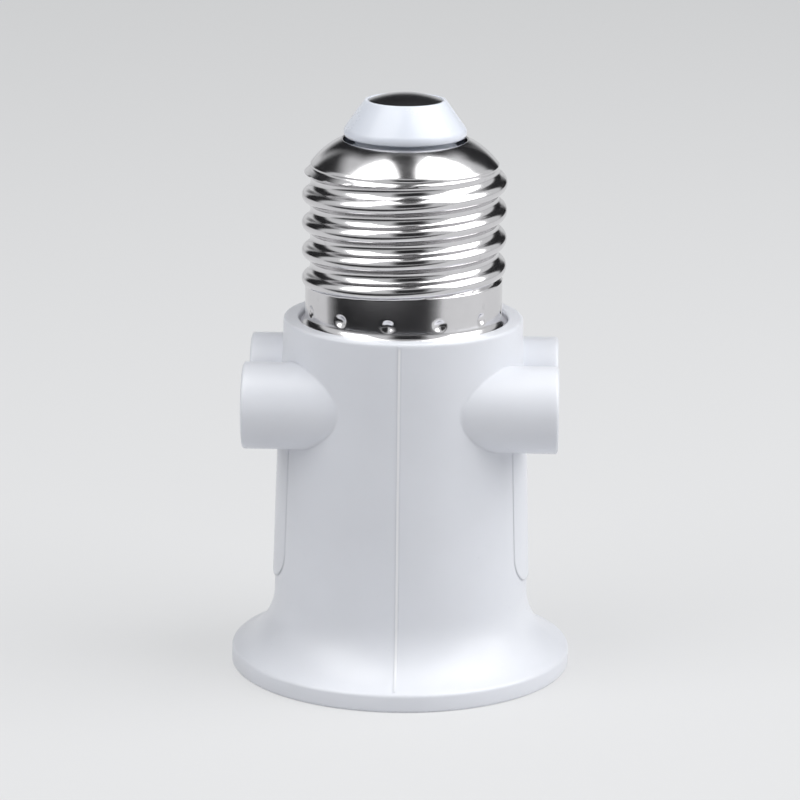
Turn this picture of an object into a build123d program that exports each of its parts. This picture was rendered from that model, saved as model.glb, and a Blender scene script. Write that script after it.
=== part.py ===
from build123d import *
import math
import os

# A lamp socket adapter. It screws into a lamp holder by the cap on top, takes a lamp in
# the socket below, and has a two-pin outlet on its left and right sides.
# Millimetres, +Z up. The origin is the centre of the foot ring that it stands on.
# The front is -Y, and the outlets face -X and +X.

# Lamp thread: crest and root are equal arcs that meet at a tangent
THREAD_PITCH = 3.629
THREAD_DEPTH = 1.096
CAP_CREST_R = 13.15
SOCKET_PLAY = 0.15
ROOT_LIFT = 0.03
RIDGE_SINK = 0.4

# Screw cap, rolled from sheet and staked to the neck of the housing
CAP_SHEET = 0.38
SKIRT_STEP = 0.45
SKIRT_HEIGHT = 5.1
THREAD_LENGTH = 15.0
THREAD_RUN_OUT = 1.2
SHOULDER_RISE = 3.6
SHOULDER_ROUND = 1.4
SHOULDER_FADE = 0.7
CAP_MOUTH_R = 8.1
CAP_MOUTH_EDGE = 0.2
FIRST_CREST_DROP = 4.2
HEM_FLARE = 0.65
HEM_HEIGHT = 1.6
HEM_LIP = 0.5
DENT_COUNT = 12
DENT_BALL_R = 1.25
DENT_DEPTH = 0.45
DENT_RISE = 1.5
DENT_START_DEG = -7.0

# Insulator and tip contact at the top of the cap
INSULATOR_RISE = 4.6
INSULATOR_TIP_R = 5.18
INSULATOR_LIP = 0.35
INSULATOR_WALL = 1.8
INSULATOR_FOOT = 1.2
INSULATOR_ROUND = 1.5
TIP_SEAT_DEPTH = 0.7
TIP_DISC = 0.6
TIP_CROWN = 0.9
TIP_STEM_R = 1.4
TIP_STEM_BORE_R = 0.7
TIP_RIVET_R = 2.2
TIP_RIVET_HEIGHT = 0.5

# Housing, one moulding
BODY_HEIGHT = 46.4
BODY_DRAFT_DEG = 1.7
RIM_WALL = 1.9
RIM_ROUND = 0.35
RECESS_DEPTH = 1.0
DECK = 2.2
LEAD_HOLE_R = 6.2
NECK_WALL = 1.6
FLANGE_R = 22.15
FLANGE_EDGE = 2.3
FLANGE_LIP_ROUND = 0.45
FOOT_WIDTH = 2.0
FOOT_ROUND = 0.3
FLARE_TOP_Z = 9.7
SEAM_PROUD = 0.07
SEAM_WIDTH = 0.3
PAD_PROUD = 0.3
PAD_WIDTH = 13.8
PAD_FOOT_Z = 12.2

# Barrels that hold the pin holes
BARREL_R = 5.58
BARREL_SPACING = 16.2
BARREL_Z = 36.3
BARREL_END_X = 20.17
BARREL_BEVEL = 0.3

# Pin holes: a flat slot that opens into a round hole
BLADE_SPACING = 12.7
BLADE_SLOT_WIDTH = 2.0
BLADE_SLOT_HEIGHT = 7.2
PIN_SPACING = 19.0
PIN_HOLE_R = 2.55

# Contacts, folded from brass strip
CONTACT_SHEET = 0.5
CONTACT_EASE = 0.05
CONTACT_SLIT = 1.2
CONTACT_RISE = 0.65
CONTACT_FOOT_WIDTH = 12.0

# Contact carrier, with its screws into two posts of the housing
CARRIER_HEIGHT = 6.95
POST_X = 9.2
POST_R = 2.2
POST_RIB = 1.4
SCREW_R = 1.2
SCREW_HEAD_R = 1.95
SCREW_HEAD_HEIGHT = 1.3
SCREW_BITE = 7.0
SCREW_HEAD_BEVEL = 0.4
SCREW_SLOT = 0.6
BARRIER_Y = 3.9
BARRIER_WIDTH = 0.9
BARRIER_LENGTH = 14.0
BARRIER_HEIGHT = 3.6
LIVE_SCREW_X = 4.7
LIVE_SCREW_Y = 1.0
LIVE_SCREW_R = 0.8
LIVE_SCREW_HEAD_R = 1.4
LIVE_SCREW_HEAD_HEIGHT = 0.9
LIVE_SCREW_BITE = 4.5

# Lamp socket shell, rolled with the same thread
SOCKET_LENGTH = 19.6
SOCKET_FLANGE_R = 7.5
SOCKET_LIP = 1.2
RIVET_Y = 9.5
RIVET_R = 0.9
RIVET_HEAD_R = 1.6
RIVET_HEAD_HEIGHT = 0.6

# Sprung centre contact of the lamp socket
BUTTON_R = 2.0
BUTTON_REACH = 2.4
BUTTON_ROUND = 0.8
COLLAR_R = 2.7
COLLAR_HEIGHT = 0.8
GUIDE_R = 1.4
GUIDE_HEIGHT = 2.2
WELL_LIP = 1.2
SPRING_WIRE = 0.44
SPRING_TURNS = 4
SPRING_SIDES = 8

# Leads from the cap to the contacts
WIRE_R = 0.5
SLEEVE_R = 1.0
LEAD_BEND_R = 6.0
LEAD_HOOK_R = 2.0
LIVE_LEAD_Y = 3.4
LEAD_WALL_GAP = 0.6
LEAD_HOLE_DROP = 4.0
LEAD_SWING = 8.0
STRIPPED = 1.5

# Clearances, and how far a cut runs past the work
FIT = 0.06
EASY = 0.2
COLLAR_GAP = 0.1
PAST = 1.0
FULL = 100.0

# Sizes that follow from the ones above
thread_arc = ((THREAD_PITCH / 2) ** 2 + THREAD_DEPTH**2) / (4 * THREAD_DEPTH)
cap_root_r = CAP_CREST_R - THREAD_DEPTH
skirt_r = CAP_CREST_R - SKIRT_STEP
hem_r = skirt_r + HEM_FLARE
hem_z = BODY_HEIGHT - RECESS_DEPTH
skirt_top_z = BODY_HEIGHT + SKIRT_HEIGHT
shoulder_z = skirt_top_z + THREAD_LENGTH
cap_top_z = shoulder_z + SHOULDER_RISE
core_r = cap_root_r + ROOT_LIFT
shoulder_angle = math.atan2(SHOULDER_RISE, core_r - CAP_MOUTH_R)
dent_z = BODY_HEIGHT + DENT_RISE

insulator_r = CAP_MOUTH_R - CAP_MOUTH_EDGE - FIT
insulator_top_z = cap_top_z + INSULATOR_RISE
insulator_foot_r = core_r - CAP_SHEET - FIT
tip_seat_r = INSULATOR_TIP_R - INSULATOR_LIP
tip_r = tip_seat_r - FIT
tip_seat_z = insulator_top_z - TIP_SEAT_DEPTH
roof_z = tip_seat_z - INSULATOR_WALL

rim_inner_r = hem_r + EASY
body_top_r = rim_inner_r + RIM_WALL
deck_z = hem_z - DECK
neck_r = skirt_r - CAP_SHEET - FIT
neck_upper_r = cap_root_r - CAP_SHEET - FIT
neck_bore_r = neck_upper_r - NECK_WALL
socket_crest_r = CAP_CREST_R + SOCKET_PLAY
socket_root_r = socket_crest_r - THREAD_DEPTH
socket_outer_r = socket_crest_r + CAP_SHEET
bore_r = socket_outer_r + EASY + FIT

clip_half = BLADE_SLOT_HEIGHT / 2 + CONTACT_EASE
carrier_top_z = BARREL_Z - clip_half - CONTACT_SHEET - CONTACT_RISE
carrier_z = carrier_top_z - CARRIER_HEIGHT
carrier_r = bore_r - EASY
foot_top_z = carrier_top_z + CONTACT_SHEET
leaf_y = BLADE_SPACING / 2 - BLADE_SLOT_WIDTH / 2 - CONTACT_EASE
socket_top_z = carrier_z
socket_z = socket_top_z - SOCKET_LENGTH
flange_under_z = socket_top_z - CAP_SHEET

lip_z = carrier_z + WELL_LIP
collar_z = lip_z + COLLAR_GAP
collar_top_z = collar_z + COLLAR_HEIGHT
button_z = carrier_z - BUTTON_REACH
well_r = COLLAR_R + EASY + FIT
spring_r = COLLAR_R - SPRING_WIRE / 2
spring_low_z = collar_top_z + SPRING_WIRE / 2
spring_high_z = carrier_top_z - SPRING_WIRE / 2


def body_r(z):
    """Outer radius of the drafted wall at a height."""
    return body_top_r + (BODY_HEIGHT - z) * math.tan(math.radians(BODY_DRAFT_DEG))


def shoulder_at(r, depth):
    """Height of the cap's shoulder at a radius, a depth under its outer face."""
    return shoulder_z + (core_r - r) * math.tan(shoulder_angle) - depth / math.cos(shoulder_angle)


insulator_foot_z = shoulder_at(insulator_foot_r, CAP_SHEET + FIT) - INSULATOR_FOOT
lead_hole_z = insulator_foot_z - LEAD_HOLE_DROP


def mirrored(point):
    """The same point on the lower side of a section."""
    return (point[0], -point[1])


def spun(*outline):
    """Solid of revolution from radius and height points."""
    return revolve(Plane.XZ * make_face(Polyline(*outline, close=True)), Axis.Z)


def rounded(outline, rounds):
    """Outline with the corners nearest to the given places rounded."""
    for place, radius in rounds:
        corner = outline.vertices().sort_by_distance(place)[0]
        outline = fillet(corner, radius)
    return outline


def post(x, y, z_low, z_high, r):
    """Upright cylinder between two heights."""
    return Pos(x, y, (z_low + z_high) / 2) * Cylinder(r, z_high - z_low)


def block(x_span, y_span, z_span):
    """Box between two limits on each axis."""
    centre = [(low + high) / 2 for low, high in (x_span, y_span, z_span)]
    sizes = [high - low for low, high in (x_span, y_span, z_span)]
    return Pos(*centre) * Box(*sizes)


def thread_ridge(crest_r, z_low, z_high, crest_z):
    """Right-hand ridge along a helix, whose crest passes the -X side at crest_z."""
    root_r = crest_r - THREAD_DEPTH
    inflection = (root_r + THREAD_DEPTH / 2, THREAD_PITCH / 4)
    foot_rise = ROOT_LIFT / 2
    foot_half = THREAD_PITCH / 2 - math.sqrt(thread_arc**2 - (thread_arc - foot_rise) ** 2)
    foot = (root_r + foot_rise, foot_half)
    sunk = (root_r - RIDGE_SINK, foot_half)
    crest = RadiusArc(mirrored(inflection), inflection, -thread_arc)
    upper_root = RadiusArc(inflection, foot, thread_arc)
    lower_root = RadiusArc(mirrored(foot), mirrored(inflection), thread_arc)
    base = Polyline(foot, sunk, mirrored(sunk), mirrored(foot))
    section = Plane.XZ * make_face(crest + upper_root + lower_root + base)
    turns_below = math.ceil((crest_z - z_low) / THREAD_PITCH) + 0.5
    start_z = crest_z - turns_below * THREAD_PITCH
    turns = math.ceil((z_high - start_z) / THREAD_PITCH + 0.5)
    path = Helix(THREAD_PITCH, turns * THREAD_PITCH, root_r)
    return Pos(0, 0, start_z) * sweep(section, path=path, is_frenet=True)


def faded_thread(crest_r, low, high, crest_z):
    """Thread that grows out of a radius and height below and fades into another above."""
    low_r, z_low = low
    high_r, z_high = high
    past_r = crest_r + EASY
    envelope = spun(
        (0, z_low),
        (low_r, z_low),
        (past_r, z_low + past_r - low_r),
        (past_r, z_high - past_r + high_r),
        (high_r, z_high),
        (0, z_high),
    )
    return thread_ridge(crest_r, z_low, z_high, crest_z) & envelope


def dent_balls(radius):
    """Balls of the staking punches, set round the skirt."""
    reach = skirt_r + DENT_BALL_R - DENT_DEPTH
    balls = []
    for index in range(DENT_COUNT):
        angle = math.radians(DENT_START_DEG - 90 + index * 360 / DENT_COUNT)
        balls.append(Pos(reach * math.cos(angle), reach * math.sin(angle), dent_z) * Sphere(radius))
    return balls


def cap_form(inset):
    """The cap as a full form, inset by a depth of sheet: hem, skirt, thread and shoulder."""
    lip_top = (hem_r - inset, hem_z + HEM_LIP)
    skirt_low = (skirt_r - inset, hem_z + HEM_HEIGHT)
    upper_r = core_r - inset
    side = Polyline(
        skirt_low,
        (skirt_r - inset, skirt_top_z),
        (upper_r, skirt_top_z + skirt_r - core_r),
        (upper_r, shoulder_at(upper_r, inset)),
        (CAP_MOUTH_R, shoulder_at(CAP_MOUTH_R, inset)),
        (0, shoulder_at(CAP_MOUTH_R, inset)),
        (0, hem_z),
        (hem_r - inset, hem_z),
        lip_top,
    )
    hem = TangentArc(skirt_low, lip_top, tangent=(0, -1))
    outline = make_face(side + hem)
    rounds = (((upper_r, shoulder_at(upper_r, inset)), SHOULDER_ROUND - inset),)
    form = revolve(Plane.XZ * rounded(outline, rounds), Axis.Z)
    thread = faded_thread(
        CAP_CREST_R - inset,
        (skirt_r - inset - EASY, skirt_top_z - THREAD_RUN_OUT),
        (upper_r - EASY, shoulder_at(upper_r, inset) - SHOULDER_FADE),
        shoulder_z - FIRST_CREST_DROP,
    )
    return form + thread


def make_screw_cap():
    """Rolled shell with its thread, staking dents and open mouth."""
    outside = cap_form(0) - dent_balls(DENT_BALL_R)
    inside = cap_form(CAP_SHEET) - dent_balls(DENT_BALL_R + CAP_SHEET)
    mouth = post(0, 0, shoulder_z, FULL, CAP_MOUTH_R - CAP_MOUTH_EDGE)
    return outside - inside - mouth


def make_cap_insulator():
    """White bush that closes the cap, trapped between its shoulder and the neck."""
    under = CAP_SHEET + FIT
    inner_foot_r = insulator_foot_r - INSULATOR_WALL
    waist_z = shoulder_at(CAP_MOUTH_R, under)
    outline = make_face(
        Polyline(
            (0, tip_seat_z),
            (tip_seat_r, tip_seat_z),
            (tip_seat_r, insulator_top_z),
            (INSULATOR_TIP_R, insulator_top_z),
            (insulator_r, cap_top_z + FIT),
            (insulator_r, waist_z),
            (CAP_MOUTH_R, waist_z),
            (insulator_foot_r, shoulder_at(insulator_foot_r, under)),
            (insulator_foot_r, insulator_foot_z),
            (inner_foot_r, insulator_foot_z),
            (insulator_r - INSULATOR_WALL, waist_z - INSULATOR_WALL),
            (INSULATOR_TIP_R - INSULATOR_WALL, roof_z),
            (0, roof_z),
            close=True,
        )
    )
    rounds = (
        ((insulator_r, cap_top_z + FIT), INSULATOR_ROUND),
        ((insulator_foot_r, shoulder_at(insulator_foot_r, under)), SHOULDER_ROUND - under),
    )
    bush = revolve(Plane.XZ * rounded(outline, rounds), Axis.Z)
    return bush - post(0, 0, roof_z - PAST, FULL, TIP_STEM_R + FIT)


def make_tip_contact():
    """Domed button with a hollow stem, riveted over under the insulator's roof."""
    edge_z = tip_seat_z + TIP_DISC
    rivet_z = roof_z - TIP_RIVET_HEIGHT
    side = Polyline(
        (0, edge_z + TIP_CROWN),
        (0, rivet_z),
        (TIP_RIVET_R, rivet_z),
        (TIP_RIVET_R, roof_z),
        (TIP_STEM_R, roof_z),
        (TIP_STEM_R, tip_seat_z),
        (tip_r, tip_seat_z),
        (tip_r, edge_z),
    )
    dome_r = (tip_r**2 + TIP_CROWN**2) / (2 * TIP_CROWN)
    dome = RadiusArc((tip_r, edge_z), (0, edge_z + TIP_CROWN), -dome_r)
    contact = revolve(Plane.XZ * make_face(side + dome), Axis.Z)
    return contact - post(0, 0, rivet_z - PAST, tip_seat_z, TIP_STEM_BORE_R)


def keyhole(grow):
    """Pin hole on the rear side, as a flat slot joined with a round hole."""
    slot = Rectangle(BLADE_SLOT_WIDTH + 2 * grow, BLADE_SLOT_HEIGHT + 2 * grow)
    hole = Circle(PIN_HOLE_R + grow)
    return Pos(BLADE_SPACING / 2, BARREL_Z) * slot + Pos(PIN_SPACING / 2, BARREL_Z) * hole


def along_x(sketch, reach):
    """Sketch in Y and Z drawn out to both sides along X."""
    return extrude(Plane.YZ * sketch, reach, both=True)


def body_outline(grow):
    """Outer outline of the body from foot to rim, grown by a thickness."""
    waist = (body_r(FLARE_TOP_Z) + grow, FLARE_TOP_Z)
    lip = (FLANGE_R, FLANGE_EDGE + grow)
    side = Polyline(
        lip,
        (FLANGE_R, 0),
        (0, 0),
        (0, BODY_HEIGHT),
        (body_top_r + grow, BODY_HEIGHT),
        waist,
    )
    draft = math.radians(BODY_DRAFT_DEG)
    flare = TangentArc(waist, lip, tangent=(math.sin(draft), -math.cos(draft)))
    return make_face(side + flare)


def rounded_body(grow):
    """Turned form of the body with its rim, lip and foot rounded."""
    outline = body_outline(grow)
    rounds = (
        ((body_top_r + grow, BODY_HEIGHT), RIM_ROUND),
        ((FLANGE_R, FLANGE_EDGE + grow), FLANGE_LIP_ROUND),
        ((FLANGE_R, 0), FOOT_ROUND),
    )
    return revolve(Plane.XZ * rounded(outline, rounds), Axis.Z)


def barrels():
    """Four barrels that stand out to the left and right."""
    bar = Cylinder(BARREL_R, 2 * BARREL_END_X, rotation=(0, 90, 0))
    bar = chamfer(bar.edges().filter_by(GeomType.CIRCLE), BARREL_BEVEL)
    return [Pos(0, side * BARREL_SPACING / 2, BARREL_Z) * bar for side in (-1, 1)]


def pads():
    """Raised pads under the barrels, and the fine parting line of the mould."""
    pad_box = block((-FULL, FULL), (-PAD_WIDTH / 2, PAD_WIDTH / 2), (PAD_FOOT_Z, BARREL_Z))
    seam_top_z = BODY_HEIGHT - RIM_ROUND
    seam_box = block((-SEAM_WIDTH / 2, SEAM_WIDTH / 2), (-FULL, FULL), (FLANGE_EDGE, seam_top_z))
    flange_limit = post(0, 0, 0, BODY_HEIGHT, FLANGE_R - FLANGE_LIP_ROUND)
    pad = revolve(Plane.XZ * body_outline(PAD_PROUD), Axis.Z) & pad_box
    seam = revolve(Plane.XZ * body_outline(SEAM_PROUD), Axis.Z) & seam_box & flange_limit
    return [pad, seam]


def body_hollow():
    """Bell mouth, socket bore and contact chamber, as one form to take out."""
    foot_inner_r = FLANGE_R - FOOT_WIDTH
    mouth = (foot_inner_r, FOOT_ROUND)
    waist = (bore_r, FLARE_TOP_Z)
    side = Polyline(mouth, (foot_inner_r, -PAST), (0, -PAST), (0, deck_z), (bore_r, deck_z), waist)
    bell = TangentArc(waist, mouth, tangent=(0, -1))
    return revolve(Plane.XZ * make_face(side + bell), Axis.Z)


def neck():
    """Neck inside the cap, with a groove that the staking dents bite into."""
    collar_top = skirt_top_z - EASY
    bite_r = skirt_r - DENT_DEPTH - CAP_SHEET - FIT
    bite_low = dent_z - DENT_BALL_R - CAP_SHEET
    bite_high = dent_z + DENT_BALL_R + CAP_SHEET
    tube = post(0, 0, hem_z - FIT, collar_top, neck_r) + post(0, 0, hem_z, insulator_foot_z, neck_upper_r)
    groove = post(0, 0, bite_low, bite_high, FULL) - post(0, 0, bite_low, bite_high, bite_r)
    bore = post(0, 0, deck_z, FULL, neck_bore_r)
    drill = Cylinder(WIRE_R + EASY, 2 * NECK_WALL + PAST, rotation=(90, 0, 0))
    wire_hole = Pos(0, -neck_upper_r, lead_hole_z) * drill
    return tube - groove - bore - wire_hole


def screw_posts():
    """Two ribbed posts under the deck, with pilot holes for the carrier's screws."""
    posts = []
    top_z = deck_z + DECK / 2
    pilot_z = carrier_top_z + SCREW_BITE + EASY
    for side in (-1, 1):
        stem = post(side * POST_X, 0, carrier_top_z, top_z, POST_R)
        ends = sorted((side * POST_X, side * (bore_r + EASY)))
        rib = block(ends, (-POST_RIB / 2, POST_RIB / 2), (carrier_top_z, top_z))
        pilot = post(side * POST_X, 0, carrier_z, pilot_z, SCREW_R + FIT / 2)
        posts.append(stem + rib - pilot)
    return posts


def make_housing():
    """One moulding: flared body, barrels, pads, neck and the posts inside."""
    outlets = along_x(keyhole(0), FULL)
    body = rounded_body(0) + barrels() + pads()
    body = body - body_hollow() - outlets - mirror(outlets, Plane.XZ)
    body = body - post(0, 0, hem_z, FULL, rim_inner_r)
    body = body - post(0, 0, deck_z - PAST, FULL, LEAD_HOLE_R)
    return body + neck() + screw_posts()


def make_contact(foot_from, foot_to):
    """Double-ended clip of folded strip on the rear side, open below, with a foot to fix it."""
    gap_width = BLADE_SLOT_WIDTH + 2 * CONTACT_EASE
    gap = Pos(BLADE_SPACING / 2, BARREL_Z - clip_half) * Rectangle(gap_width, 2 * CONTACT_SHEET)
    clip = along_x(keyhole(CONTACT_EASE + CONTACT_SHEET) - keyhole(CONTACT_EASE) - gap, FULL)
    chamber = post(0, 0, carrier_top_z, deck_z, bore_r - EASY)
    slit = block((-CONTACT_SLIT / 2, CONTACT_SLIT / 2), (leaf_y, FULL), (carrier_top_z, FULL))
    half = CONTACT_FOOT_WIDTH / 2
    leg = block((-half, half), (leaf_y - CONTACT_SHEET, leaf_y), (carrier_top_z, BARREL_Z))
    foot = block((-half, half), (foot_from, foot_to), (carrier_top_z, foot_top_z))
    return (clip & chamber) - slit + leg + foot


def make_live_contact():
    """Rear contact, whose foot runs in over the spring of the centre contact."""
    contact = make_contact(-well_r, leaf_y)
    for side in (-1, 1):
        hole = post(side * LIVE_SCREW_X, LIVE_SCREW_Y, carrier_z, foot_top_z + PAST, LIVE_SCREW_R + FIT)
        contact = contact - hole
    return contact


def make_neutral_contact():
    """Front contact, whose foot runs out over the rivet of the lamp socket shell."""
    foot_end = RIVET_Y + RIVET_HEAD_R
    contact = make_contact(leaf_y - CONTACT_SHEET, foot_end)
    contact = mirror(contact, Plane.XZ)
    return contact - post(0, -RIVET_Y, carrier_z, foot_top_z + PAST, RIVET_R + FIT)


def make_contact_carrier():
    """Round insulating block with the spring well, screw holes and a barrier rib."""
    block_body = post(0, 0, carrier_z, carrier_top_z, carrier_r)
    barrier = block(
        (-BARRIER_LENGTH / 2, BARRIER_LENGTH / 2),
        (-BARRIER_Y - BARRIER_WIDTH / 2, -BARRIER_Y + BARRIER_WIDTH / 2),
        (carrier_top_z, carrier_top_z + BARRIER_HEIGHT),
    )
    carrier = block_body + barrier
    carrier = carrier - post(0, 0, lip_z, FULL, well_r)
    carrier = carrier - post(0, 0, carrier_z - PAST, lip_z + PAST, BUTTON_R + FIT)
    for side in (-1, 1):
        carrier = carrier - post(side * POST_X, 0, carrier_z - PAST, FULL, SCREW_R + EASY)
        pilot_z = foot_top_z - LIVE_SCREW_BITE - EASY
        carrier = carrier - post(side * LIVE_SCREW_X, LIVE_SCREW_Y, pilot_z, FULL, LIVE_SCREW_R + FIT / 2)
    return carrier - post(0, -RIVET_Y, carrier_z - PAST, FULL, RIVET_R + FIT)


def socket_form(grow, z_low, z_high):
    """Inside of the lamp socket as a full form, grown by a depth of sheet."""
    mouth_r = socket_crest_r + grow
    wall_r = socket_root_r + ROOT_LIFT + grow
    lip_top_z = socket_z + SOCKET_LIP
    core = spun(
        (0, z_low),
        (mouth_r, z_low),
        (mouth_r, lip_top_z),
        (wall_r, lip_top_z + mouth_r - wall_r),
        (wall_r, z_high),
        (0, z_high),
    )
    thread = faded_thread(
        mouth_r,
        (mouth_r - EASY, lip_top_z - EASY - FIT),
        (wall_r - EASY, flange_under_z - SOCKET_LIP),
        socket_top_z - FIRST_CREST_DROP,
    )
    return core + thread


def make_lamp_shell():
    """Rolled sleeve that a lamp screws into, closed above by an inward flange."""
    outside = socket_form(CAP_SHEET, socket_z, socket_top_z)
    inside = socket_form(0, socket_z - PAST, flange_under_z)
    shell = outside - inside - post(0, 0, socket_z, FULL, SOCKET_FLANGE_R)
    shell = shell - post(0, -RIVET_Y, flange_under_z - PAST, FULL, RIVET_R + FIT)
    for side in (-1, 1):
        shell = shell - post(side * POST_X, 0, flange_under_z - PAST, FULL, SCREW_R + EASY)
    return shell


def screw(x, y, seat_z, tip_z, shank_r, head_r, head_height):
    """Slotted screw with its head on seat_z and its point at tip_z."""
    way = 1 if tip_z > seat_z else -1
    low, high = sorted((seat_z, tip_z))
    head_low, head_high = sorted((seat_z, seat_z - way * head_height))
    shank = post(x, y, low, high, shank_r)
    head = post(x, y, head_low, head_high, head_r)
    rim = head.edges().filter_by(GeomType.CIRCLE).sort_by(Axis.Z)
    head = chamfer(rim[0] if way > 0 else rim[-1], SCREW_HEAD_BEVEL)
    face_z = seat_z - way * head_height
    slot = Pos(x, y, face_z) * Box(SCREW_SLOT, 2 * head_r + PAST, head_height)
    return shank + head - slot


def make_carrier_screws():
    """Two screws from inside the lamp socket into the posts of the housing."""
    tip_z = carrier_top_z + SCREW_BITE
    return [
        screw(side * POST_X, 0, flange_under_z, tip_z, SCREW_R, SCREW_HEAD_R, SCREW_HEAD_HEIGHT)
        for side in (-1, 1)
    ]


def make_live_screws():
    """Two small screws that hold the live contact's foot."""
    tip_z = foot_top_z - LIVE_SCREW_BITE
    return [
        screw(
            side * LIVE_SCREW_X,
            LIVE_SCREW_Y,
            foot_top_z,
            tip_z,
            LIVE_SCREW_R,
            LIVE_SCREW_HEAD_R,
            LIVE_SCREW_HEAD_HEIGHT,
        )
        for side in (-1, 1)
    ]


def make_neutral_rivet():
    """Rivet that joins the front contact to the lamp socket shell."""
    shank = post(0, -RIVET_Y, flange_under_z, foot_top_z, RIVET_R)
    head = post(0, -RIVET_Y, foot_top_z, foot_top_z + RIVET_HEAD_HEIGHT, RIVET_HEAD_R)
    tail = post(0, -RIVET_Y, flange_under_z - RIVET_HEAD_HEIGHT, flange_under_z, RIVET_HEAD_R)
    return shank + head + tail


def make_centre_contact():
    """Brass plunger with a round button, a collar and a spring guide."""
    button = post(0, 0, button_z, collar_z, BUTTON_R)
    button = fillet(button.edges().filter_by(GeomType.CIRCLE).sort_by(Axis.Z)[0], BUTTON_ROUND)
    collar = post(0, 0, collar_z, collar_top_z, COLLAR_R)
    guide = post(0, 0, collar_top_z, collar_top_z + GUIDE_HEIGHT, GUIDE_R)
    return button + collar + guide


def make_contact_spring():
    """Coil spring between the plunger's collar and the live contact's foot."""
    rise = spring_high_z - spring_low_z
    path = Pos(0, 0, spring_low_z) * Helix(rise / SPRING_TURNS, rise, spring_r)
    start = Plane(origin=path @ 0, z_dir=path % 0)
    return sweep(start * RegularPolygon(SPRING_WIRE / 2, SPRING_SIDES), path=path, is_frenet=True)


def lead(points, bends, radius):
    """Round wire along straight runs joined by tangent arcs, in the Y and Z plane."""
    path = FilletPolyline(*[(0, y, z) for y, z in points], radius=bends)
    start = Plane(origin=path @ 0, z_dir=path % 0)
    return sweep(start * Circle(radius), path=path)


def live_route(top_z, low_z):
    """Line of the live lead, from the tip contact down to the rear contact."""
    swing_z = hem_z + LEAD_SWING
    return [(0, top_z), (0, swing_z + LEAD_SWING), (LIVE_LEAD_Y, swing_z), (LIVE_LEAD_Y, low_z)]


def make_live_wire():
    """Copper core, soldered into the tip's stem and on to the live contact's foot."""
    return lead(live_route(tip_seat_z - FIT, foot_top_z), LEAD_BEND_R, WIRE_R)


def make_live_sleeve():
    """Insulation of the live lead."""
    route = live_route(roof_z - TIP_RIVET_HEIGHT - EASY, foot_top_z + STRIPPED)
    return lead(route, LEAD_BEND_R, SLEEVE_R) - lead(route, LEAD_BEND_R, WIRE_R + FIT)


def neutral_route(low_z):
    """Line of the neutral lead, from the front contact up into the neck."""
    contact_y = leaf_y - CONTACT_SHEET - WIRE_R - FIT
    neck_y = neck_bore_r - SLEEVE_R - LEAD_WALL_GAP
    return [(-contact_y, low_z), (-contact_y, hem_z), (-neck_y, hem_z + LEAD_SWING)], neck_y


def make_neutral_wire():
    """Copper core, soldered to the front contact and hooked out to the cap's wall."""
    route, neck_y = neutral_route(BARREL_Z)
    wall_y = cap_root_r - CAP_SHEET - FIT
    points = route + [(-neck_y, lead_hole_z), (-wall_y, lead_hole_z)]
    return lead(points, [LEAD_BEND_R, LEAD_BEND_R, LEAD_HOOK_R], WIRE_R)


def make_neutral_sleeve():
    """Insulation of the neutral lead."""
    route, neck_y = neutral_route(BARREL_Z + clip_half + STRIPPED)
    points = route + [(-neck_y, lead_hole_z - LEAD_HOOK_R)]
    return lead(points, LEAD_BEND_R, SLEEVE_R) - lead(points, LEAD_BEND_R, WIRE_R + FIT)


os.makedirs("parts", exist_ok=True)

pieces = {
    "housing": make_housing(),
    "screw_cap": make_screw_cap(),
    "cap_insulator": make_cap_insulator(),
    "tip_contact": make_tip_contact(),
    "live_wire": make_live_wire(),
    "live_sleeve": make_live_sleeve(),
    "neutral_wire": make_neutral_wire(),
    "neutral_sleeve": make_neutral_sleeve(),
    "live_contact": make_live_contact(),
    "neutral_contact": make_neutral_contact(),
    "contact_carrier": make_contact_carrier(),
    "lamp_shell": make_lamp_shell(),
    "carrier_screws": Compound(children=make_carrier_screws()),
    "live_screws": Compound(children=make_live_screws()),
    "neutral_rivet": make_neutral_rivet(),
    "centre_contact": make_centre_contact(),
    "contact_spring": make_contact_spring(),
}

for name, piece in pieces.items():
    export_step(piece, f"parts/{name}.step")
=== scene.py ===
"""Looks of a lamp socket adapter: white moulding, rolled screw cap, lamp socket and a plain studio."""

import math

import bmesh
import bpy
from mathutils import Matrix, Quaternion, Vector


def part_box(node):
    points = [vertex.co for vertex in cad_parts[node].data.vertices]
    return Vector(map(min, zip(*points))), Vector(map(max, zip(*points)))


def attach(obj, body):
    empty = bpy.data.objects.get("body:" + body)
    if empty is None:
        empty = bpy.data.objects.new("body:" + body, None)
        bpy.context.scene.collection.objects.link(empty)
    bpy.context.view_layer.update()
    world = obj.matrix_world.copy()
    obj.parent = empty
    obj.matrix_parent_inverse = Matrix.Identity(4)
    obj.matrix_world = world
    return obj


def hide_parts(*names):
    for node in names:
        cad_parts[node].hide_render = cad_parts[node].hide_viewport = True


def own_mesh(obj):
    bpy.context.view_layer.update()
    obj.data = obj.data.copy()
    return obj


bl_info = {
    "name": "Lamp Socket Adapter",
    "version": (1, 0, 0),
    "blender": (4, 5, 0),
    "location": "View3D > Sidebar > Adapter",
    "description": "Models and finishes the pieces of a lamp socket adapter on its packed frame",
    "category": "Object",
}

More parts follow.
